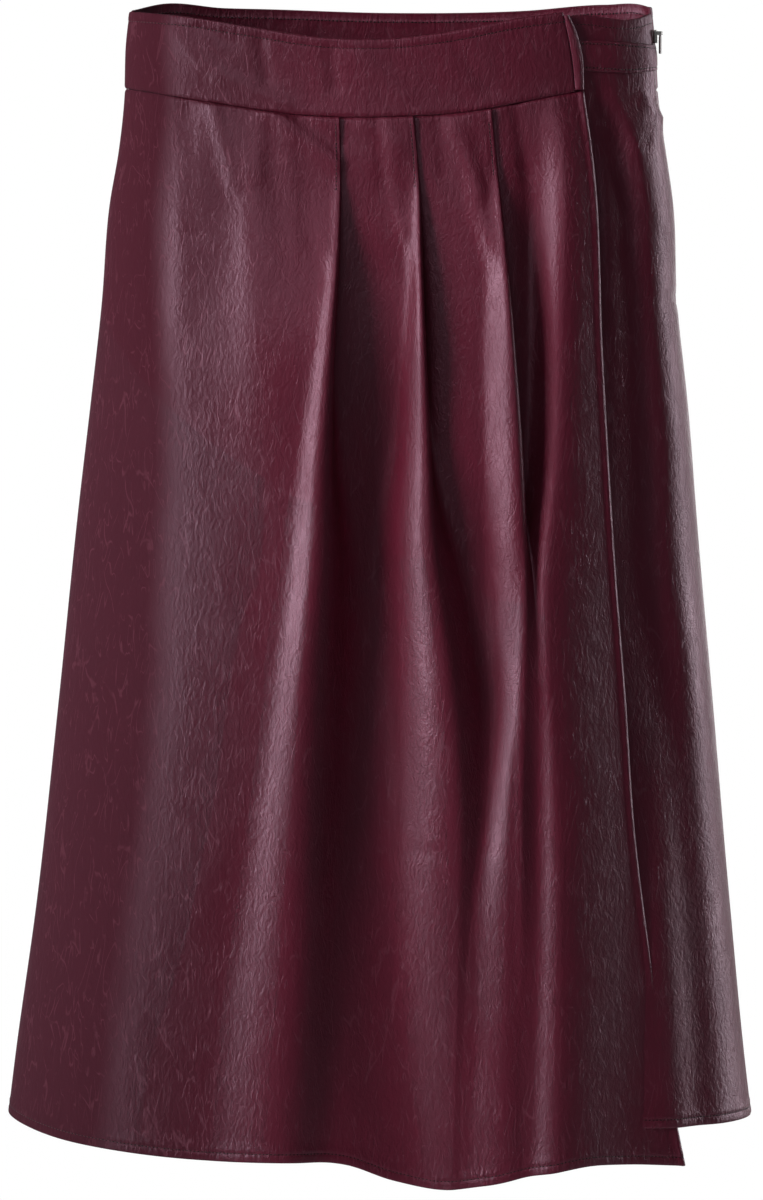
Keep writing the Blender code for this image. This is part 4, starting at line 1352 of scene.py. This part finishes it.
def capsule(length, radius):
    """A stitch's points and faces: X along it, Z out of the cloth, its ends dipping in."""
    points = []
    for along, size, rise in STITCH_RINGS:
        for step in range(STITCH_SIDES):
            turn = 2 * math.pi * step / STITCH_SIDES
            across = radius * size * math.cos(turn)
            points.append((along * length, across, radius * (rise + size * math.sin(turn))))
    faces = []
    last = (len(STITCH_RINGS) - 1) * STITCH_SIDES
    for first in range(0, last, STITCH_SIDES):
        for step in range(STITCH_SIDES):
            corner, after = first + step, first + (step + 1) % STITCH_SIDES
            faces.append((corner, corner + STITCH_SIDES, after + STITCH_SIDES, after))
    faces.append(tuple(range(STITCH_SIDES)))
    faces.append(tuple(last + step for step in reversed(range(STITCH_SIDES))))
    return np.array(points), faces


def hole(radius):
    """A needle hole's points and faces: a dimple, coloured near-black as painted shade."""
    turns = [2 * math.pi * step / STITCH_SIDES for step in range(STITCH_SIDES)]
    points = [(0, 0, 0.2 * radius)]
    points += [(radius * math.cos(turn), radius * math.sin(turn), 0) for turn in turns]
    points.append((0, 0, -0.6 * radius))
    faces = []
    for step in range(STITCH_SIDES):
        here, after = 1 + step, 1 + (step + 1) % STITCH_SIDES
        faces.append((0, here, after))
        faces.append((STITCH_SIDES + 1, after, here))
    return np.array(points), faces


def line_value(values, travel, at):
    """A line's values at a distance along it."""
    return np.array([np.interp(at, travel, values[:, axis]) for axis in range(3)])


def add_stitching(name, lines):
    """Stitches and needle holes along several lines of points and normals, as one piece."""
    settings = stitching()
    kinds = (capsule(settings.stitch_length, settings.thread / 2), hole(settings.hole / 2))
    points, faces, finish = [], [], []
    total = 0
    for line, normals in lines:
        steps = np.linalg.norm(np.diff(line, axis=0), axis=1)
        travel = np.concatenate([[0], np.cumsum(steps)])
        for number in range(2 * int(travel[-1] / settings.pitch)):
            at = (number + 1) * settings.pitch / 2
            ahead = line_value(line, travel, at + STITCH_AIM)
            behind = line_value(line, travel, at - STITCH_AIM)
            along = (ahead - behind) / np.linalg.norm(ahead - behind)
            side = np.cross(line_value(normals, travel, at), along)
            side /= np.linalg.norm(side)
            turn = np.stack([along, side, np.cross(along, side)])
            local, local_faces = kinds[number % 2]
            points.append(line_value(line, travel, at) + local @ turn)
            faces += [tuple(vertex + total for vertex in face) for face in local_faces]
            finish += [number % 2] * len(local_faces)
            total += len(local)
    thread = shared("sewing_thread", thread_material, "sewing_thread", settings.thread_colour, 0.5)
    # The needle holes are painted near-black, as the shade inside them
    dark = shared("needle_holes", thread_material, "needle_holes", settings.hole_shade_colour, 0.7)
    made = add_mesh(name, np.concatenate(points), faces, [thread, dark], finish)
    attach(made, "skirt")
    return made


class LeatherSettings(PropertyGroup):
    """The coated leather's colour and surface."""

    colour: FloatVectorProperty(
        name="Colour", description="The coating's main colour",
        default=(0.140, 0.0115, 0.0300), subtype="COLOR",
    )
    # The darker mottling, and also the painted shade that darkens the left side
    mottle_and_shade_colour: FloatVectorProperty(
        name="Deep Colour", description="The darker mottling",
        default=(0.064, 0.0053, 0.0136), subtype="COLOR",
    )
    hairline_colour: FloatVectorProperty(
        name="Hairline Colour", description="The fine creases in the coating",
        default=(0.21, 0.055, 0.085), subtype="COLOR",
    )
    backing_colour: FloatVectorProperty(
        name="Backing Colour", description="The woven back of the leather",
        default=(0.050, 0.012, 0.020), subtype="COLOR",
    )
    roughness: FloatProperty(
        name="Roughness", description="How dull the coating is", default=0.39, min=0, max=1
    )
    # Painted shade: how far the left side's colour is darkened
    left_side_shade: FloatProperty(
        name="Side Depth", description="How far the sides go to the deep colour",
        default=0.9, min=0, max=1,
    )
    side_dullness: FloatProperty(
        name="Side Dullness", description="Roughness added at the sides", default=0.74, min=0, max=1
    )
    shine_colour: FloatVectorProperty(
        name="Shine Colour", description="The tint of the coating's shine",
        default=(1.0, 0.70, 0.90), subtype="COLOR",
    )
    specular: FloatProperty(
        name="Specular", description="Strength of the shine", default=0.6, min=0, max=1
    )
    hairline_show: FloatProperty(
        name="Hairline Show", description="How far the creases show as colour", default=0.34, min=0, max=1
    )
    pebble_height: FloatProperty(
        name="Pebble Height", description="Height of the fine grain",
        default=0.12 * MM, unit="LENGTH", precision=6,
    )
    hairline_depth: FloatProperty(
        name="Hairline Depth", description="Depth of the fine creases",
        default=0.07 * MM, unit="LENGTH", precision=6,
    )
    crinkle_height: FloatProperty(
        name="Crinkle Height", description="Height of the crinkled grain",
        default=0.46 * MM, unit="LENGTH", precision=6,
    )
    ripple_height: FloatProperty(
        name="Ripple Height", description="Height of the soft unevenness",
        default=0.32 * MM, unit="LENGTH", precision=6,
    )
    pucker_height: FloatProperty(
        name="Pucker Height", description="Height of the puckers at seams",
        default=0.55 * MM, unit="LENGTH", precision=6,
    )


class StitchSettings(PropertyGroup):
    """The topstitching's sizes and colours."""

    pitch: FloatProperty(
        name="Pitch", description="From one stitch to the next", default=2.5 * MM, unit="LENGTH"
    )
    stitch_length: FloatProperty(
        name="Stitch Length", description="Thread that shows", default=1.5 * MM, unit="LENGTH"
    )
    thread: FloatProperty(
        name="Thread", description="Diameter of the thread", default=0.5 * MM, unit="LENGTH"
    )
    hole: FloatProperty(
        name="Needle Hole", description="Diameter of a needle hole", default=1.25 * MM, unit="LENGTH"
    )
    hem_margin: FloatProperty(
        name="Hem Margin", description="Hem to its stitching", default=5.6 * MM, unit="LENGTH"
    )
    band_margin: FloatProperty(
        name="Band Margin", description="Top edge to its stitching", default=6.0 * MM, unit="LENGTH"
    )
    strap_margin: FloatProperty(
        name="Strap Margin", description="Strap's edge to its stitching", default=2.2 * MM, unit="LENGTH"
    )
    pleat_margin: FloatProperty(
        name="Pleat Margin", description="Fold to its stitching", default=1.8 * MM, unit="LENGTH"
    )
    thread_colour: FloatVectorProperty(
        name="Thread Colour", description="Tone on tone", default=(0.13, 0.022, 0.040), subtype="COLOR"
    )
    # Painted shade: the near-black colour that stands for the shade inside the needle holes
    hole_shade_colour: FloatVectorProperty(
        name="Hole Colour", description="The dark of the needle holes",
        default=(0.010, 0.001, 0.003), subtype="COLOR",
    )


class ZipSettings(PropertyGroup):
    """The side zip's sizes and colours."""

    tooth_pitch: FloatProperty(
        name="Tooth Pitch", description="From tooth to tooth", default=1.3 * MM, unit="LENGTH"
    )
    metal_colour: FloatVectorProperty(
        name="Metal Colour", description="Slider and teeth", default=(0.52, 0.51, 0.50), subtype="COLOR"
    )
    paint_colour: FloatVectorProperty(
        name="Pull Colour", description="Paint on the pull tab",
        default=(0.085, 0.016, 0.027), subtype="COLOR",
    )
    tape_colour: FloatVectorProperty(
        name="Tape Colour", description="The woven tape", default=(0.045, 0.010, 0.017), subtype="COLOR"
    )


class StageSettings(PropertyGroup):
    """The studio."""

    key_power: FloatProperty(
        name="Key Power", description="The tall soft lights at the sides", default=5.9, unit="POWER"
    )
    strip_power: FloatProperty(
        name="Strip Power", description="The strips that the gloss reflects", default=23, unit="POWER"
    )
    fill_power: FloatProperty(
        name="Fill Power", description="Soft light from the front", default=3.5, unit="POWER"
    )
    back_power: FloatProperty(
        name="Back Power", description="Soft lights behind the skirt", default=16, unit="POWER"
    )
    room_light: FloatProperty(
        name="Room Light", description="Light from all round", default=0.06, min=0, max=4
    )
    floor_drop: FloatProperty(
        name="Floor Drop", description="Origin to the floor", default=1.05, unit="LENGTH"
    )


class SKIRT_OT_overlay(Operator):
    """Makes the pleated wrap front and sews its hem and pleats."""

    bl_idname = "skirt.overlay"
    bl_label = "Wrap Front"

    def execute(self, context):
        surface = make_cloths()["overlay"].surface(overlay_blocks(), edged_shares(*OVERLAY_DOWN))
        lines = [surface.along("foot", stitching().hem_margin, PANEL_WALL / 2)]
        for index, deepest in enumerate(PLEAT_STITCH_ENDS):
            depths = np.linspace(PLEAT_STITCH_FROM, deepest, STITCH_SAMPLES)
            lines.append(surface.down(self.beside_fold(index, depths), depths, PANEL_WALL / 2))
        make_piece("overlay", surface, leather_material("overlay_leather"), lines)
        return {"FINISHED"}

    def beside_fold(self, index, depth):
        """The stations at the stitching's margin before a pleat's fold."""
        start = overlay_angle(2 * index, depth)[0]
        end = pleat_angle(index, depth, 0.0)[0]
        margin = stitching().pleat_margin / ring_speed(end, depth)
        return 2 * index + (end - margin - start) / (end - start)


class SKIRT_OT_underlay(Operator):
    """Makes the underlay, which shows beside the wrap, and sews its hem and top edge."""

    bl_idname = "skirt.underlay"
    bl_label = "Underlay"

    def execute(self, context):
        surface = make_surface("underlay")
        margins = (("foot", stitching().hem_margin), ("top", stitching().band_margin))
        lines = [surface.along(side, margin, PANEL_WALL / 2) for side, margin in margins]
        make_piece("underlay", surface, leather_material("underlay_leather"), lines)
        return {"FINISHED"}


class SKIRT_OT_back(Operator):
    """Makes the back and sews its hem."""

    bl_idname = "skirt.back"
    bl_label = "Back"

    def execute(self, context):
        surface = make_surface("back")
        lines = [surface.along("foot", stitching().hem_margin, PANEL_WALL / 2)]
        make_piece("back", surface, leather_material("back_leather"), lines)
        return {"FINISHED"}


class SKIRT_OT_waistbands(Operator):
    """Makes the front and back waistbands, and sews their top edges."""

    bl_idname = "skirt.waistbands"
    bl_label = "Waistbands"

    def execute(self, context):
        margin = stitching().band_margin
        leather = leather_material("waistband_leather")
        for name in ("front_band", "back_band"):
            surface = make_surface(name)
            lines = [surface.along("top", margin, side * BAND_WALL / 2) for side in (1, -1)]
            make_piece(name, surface, leather, lines)
        return {"FINISHED"}


class SKIRT_OT_strap(Operator):
    """Makes the waist strap, sewn along both edges, and the loop that it passes under."""

    bl_idname = "skirt.strap"
    bl_label = "Strap and Loop"

    def execute(self, context):
        margin = stitching().strap_margin
        # The strap's leather is a lighter copy of the panels': painted light
        leather = leather_material("strap_leather", STRAP_PAINTED_LIGHT)
        surface = make_surface("strap")
        lines = [surface.along(side, margin, STRAP_WALL / 2) for side in ("top", "foot")]
        make_piece("strap", surface, leather, lines)
        make_piece("loop", make_surface("loop"), leather)
        return {"FINISHED"}


class SKIRT_OT_zip(Operator):
    """Makes the side zip's tape and teeth, and finishes its slider and pull tab."""

    bl_idname = "skirt.zip"
    bl_label = "Side Zip"

    def execute(self, context):
        settings = context.scene.skirt_zip
        stations, rows = (np.linspace(0, 1, count) for count in TAPE_GRID)
        surface = make_cloths()["zip_tape"].surface([stations], rows)
        piece = wall_mesh("zip_tape_cloth", surface, TAPE_WALL, [tape_material()])
        metal = metal_material()
        for node, finish in (("zip_slider", metal), ("zip_pull", paint_material())):
            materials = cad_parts[node].data.materials
            materials.clear()
            materials.append(finish)
        teeth = self.add_teeth(surface, settings.tooth_pitch, metal)
        dress("zip_tape", piece)
        return {"FINISHED"}

    def add_teeth(self, surface, pitch, metal):
        """Teeth from either side of the tape, which mesh along its middle."""
        points, faces = [], []
        width, height, reach = TOOTH_SIZE
        depths = np.arange(ZIP_TEETH_FROM, ZIP_TEETH_TO, pitch / 2)
        spots, normals = surface.down([0.5] * len(depths), depths, TAPE_WALL / 2)
        for number, (at, normal) in enumerate(zip(spots, normals)):
            side = 1 if number % 2 else -1
            along = np.cross(normal, (0, 0, 1))
            along /= np.linalg.norm(along)
            centre = at + along * side * width * TOOTH_REACH
            first = len(points)
            for i, j, k in product((-1, 1), repeat=3):
                taper = 1.0 if i * side > 0 else TOOTH_TAPER
                corner = centre + along * i * width / 2
                corner = corner + np.array((0, 0, 1)) * j * height / 2 * taper
                points.append(corner + normal * k * reach / 2 * taper)
            box = ((0, 1, 3, 2), (4, 6, 7, 5), (0, 4, 5, 1), (2, 3, 7, 6), (0, 2, 6, 4), (1, 5, 7, 3))
            faces += [tuple(first + corner for corner in face) for face in box]
        teeth = add_mesh("zip_teeth", points, faces, [metal])
        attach(teeth, "skirt")
        return teeth


class SKIRT_OT_stage(Operator):
    """Sets up the floor, the room, the lights and the camera."""

    bl_idname = "skirt.stage"
    bl_label = "Studio"

    def execute(self, context):
        settings = context.scene.skirt_stage
        self.add_floor(settings.floor_drop)
        self.add_room(settings.room_light)
        for *light, setting, share, shows in LIGHTS:
            self.add_light(*light, getattr(settings, setting) * share, shows)
        self.add_camera()
        return {"FINISHED"}

    def add_floor(self, drop):
        """A pale floor that shows as plain white, and doesn't show from below."""
        size = FLOOR_SIZE
        points = [(-size, -size, -drop), (size, -size, -drop), (size, size, -drop), (-size, size, -drop)]
        made, tree, shader = new_material("pale_floor", (0.9, 0.9, 0.9))
        shader.inputs["Base Color"].default_value = (0.85, 0.85, 0.85, 1)
        shader.inputs["Roughness"].default_value = 0.9
        shader.inputs["Specular IOR Level"].default_value = 0.0
        shader.inputs["Emission Color"].default_value = (1, 1, 1, 1)
        shader.inputs["Emission Strength"].default_value = 0.0
        glow = put(tree, "ShaderNodeEmission", {"Color": (1, 1, 1, 1), "Strength": 1.0}).outputs[0]
        clear = tree.nodes.new("ShaderNodeBsdfTransparent").outputs[0]
        seen = tree.nodes.new("ShaderNodeLightPath").outputs["Is Camera Ray"]
        below = tree.nodes.new("ShaderNodeNewGeometry").outputs["Backfacing"]
        lit = put(tree, "ShaderNodeMixShader", {0: seen, 1: shader.outputs[0], 2: glow}).outputs[0]
        both = put(tree, "ShaderNodeMixShader", {0: below, 1: lit, 2: clear}).outputs[0]
        tree.links.new(both, tree.nodes["Material Output"].inputs["Surface"])
        floor = add_mesh("pale_floor", points, [(0, 1, 2, 3)], [made])

    def add_room(self, level):
        """White where the camera sees past everything, and a dim grey room for light and reflections."""
        world = bpy.data.worlds.new("studio_room")
        world.use_nodes = True
        tree = world.node_tree
        tree.nodes.clear()
        seen = tree.nodes.new("ShaderNodeLightPath").outputs["Is Camera Ray"]
        room = put(tree, "ShaderNodeBackground", {"Color": (1, 1, 1, 1), "Strength": level}).outputs[0]
        white = put(tree, "ShaderNodeBackground", {"Color": (1, 1, 1, 1), "Strength": 1.0}).outputs[0]
        mixed = put(tree, "ShaderNodeMixShader", {0: seen, 1: room, 2: white}).outputs[0]
        output = tree.nodes.new("ShaderNodeOutputWorld")
        tree.links.new(mixed, output.inputs["Surface"])
        bpy.context.scene.world = world
        bpy.context.scene.view_settings.view_transform = "Standard"

    def add_light(self, name, aim, azimuth, elevation, distance, size, spread, power, shows):
        """A soft rectangular light that faces the skirt; azimuth 0 is in front and positive is right."""
        turn, rise = math.radians(azimuth), math.radians(elevation)
        away = Vector((math.sin(turn) * math.cos(rise), -math.cos(turn) * math.cos(rise), math.sin(rise)))
        lamp = bpy.data.lights.new(name, "AREA")
        lamp.shape = "RECTANGLE"
        lamp.size, lamp.size_y = size
        lamp.energy = power
        lamp.spread = math.radians(spread)
        made = bpy.data.objects.new(name, lamp)
        made.location = aim + away * distance
        made.rotation_euler = (-away).to_track_quat("-Z", "Y").to_euler()
        made.visible_glossy = shows != "diffuse"
        made.visible_diffuse = shows != "glossy"
        bpy.context.scene.collection.objects.link(made)

    def add_camera(self):
        """A camera a little above the middle of the front, with a long lens."""
        lens = CAMERA_DISTANCE / METRES_PER_PIXEL * SENSOR / PICTURE_HEIGHT
        camera = bpy.data.cameras.new("camera")
        camera.sensor_width = SENSOR
        camera.lens = lens
        made = bpy.data.objects.new("camera", camera)
        back = Vector((0.0, -math.cos(CAMERA_ELEVATION), math.sin(CAMERA_ELEVATION)))
        made.location = CAMERA_AIM + back * CAMERA_DISTANCE
        made.rotation_euler = (math.pi / 2 - CAMERA_ELEVATION, 0, 0)
        bpy.context.scene.collection.objects.link(made)
        bpy.context.scene.camera = made


STEPS = (
    SKIRT_OT_stage,
    SKIRT_OT_waistbands,
    SKIRT_OT_overlay,
    SKIRT_OT_underlay,
    SKIRT_OT_back,
    SKIRT_OT_strap,
    SKIRT_OT_zip,
)
SETTINGS = {
    "skirt_leather": LeatherSettings,
    "skirt_stitching": StitchSettings,
    "skirt_zip": ZipSettings,
    "skirt_stage": StageSettings,
}


class SKIRT_PT_steps(Panel):
    """The skirt's steps, in order."""

    bl_idname = "SKIRT_PT_steps"
    bl_label = "Wrap Skirt"
    bl_space_type = "VIEW_3D"
    bl_region_type = "UI"
    bl_category = "Skirt"

    def draw(self, context):
        for name, group in SETTINGS.items():
            box = self.layout.box()
            box.label(text=group.__name__.replace("Settings", ""))
            for setting in group.__annotations__:
                box.prop(getattr(context.scene, name), setting)
        for step in STEPS:
            self.layout.operator(step.bl_idname)


def register():
    for name, group in SETTINGS.items():
        bpy.utils.register_class(group)
        setattr(Scene, name, PointerProperty(type=group))
    for made in (*STEPS, SKIRT_PT_steps):
        bpy.utils.register_class(made)


def unregister():
    for made in reversed((*STEPS, SKIRT_PT_steps)):
        bpy.utils.unregister_class(made)
    for name, group in SETTINGS.items():
        delattr(Scene, name)
        bpy.utils.unregister_class(group)


def main():
    register()
    bpy.ops.skirt.stage()
    bpy.ops.skirt.waistbands()
    bpy.ops.skirt.overlay()
    bpy.ops.skirt.underlay()
    bpy.ops.skirt.back()
    bpy.ops.skirt.strap()
    bpy.ops.skirt.zip()


if __name__ == "__main__":
    main()
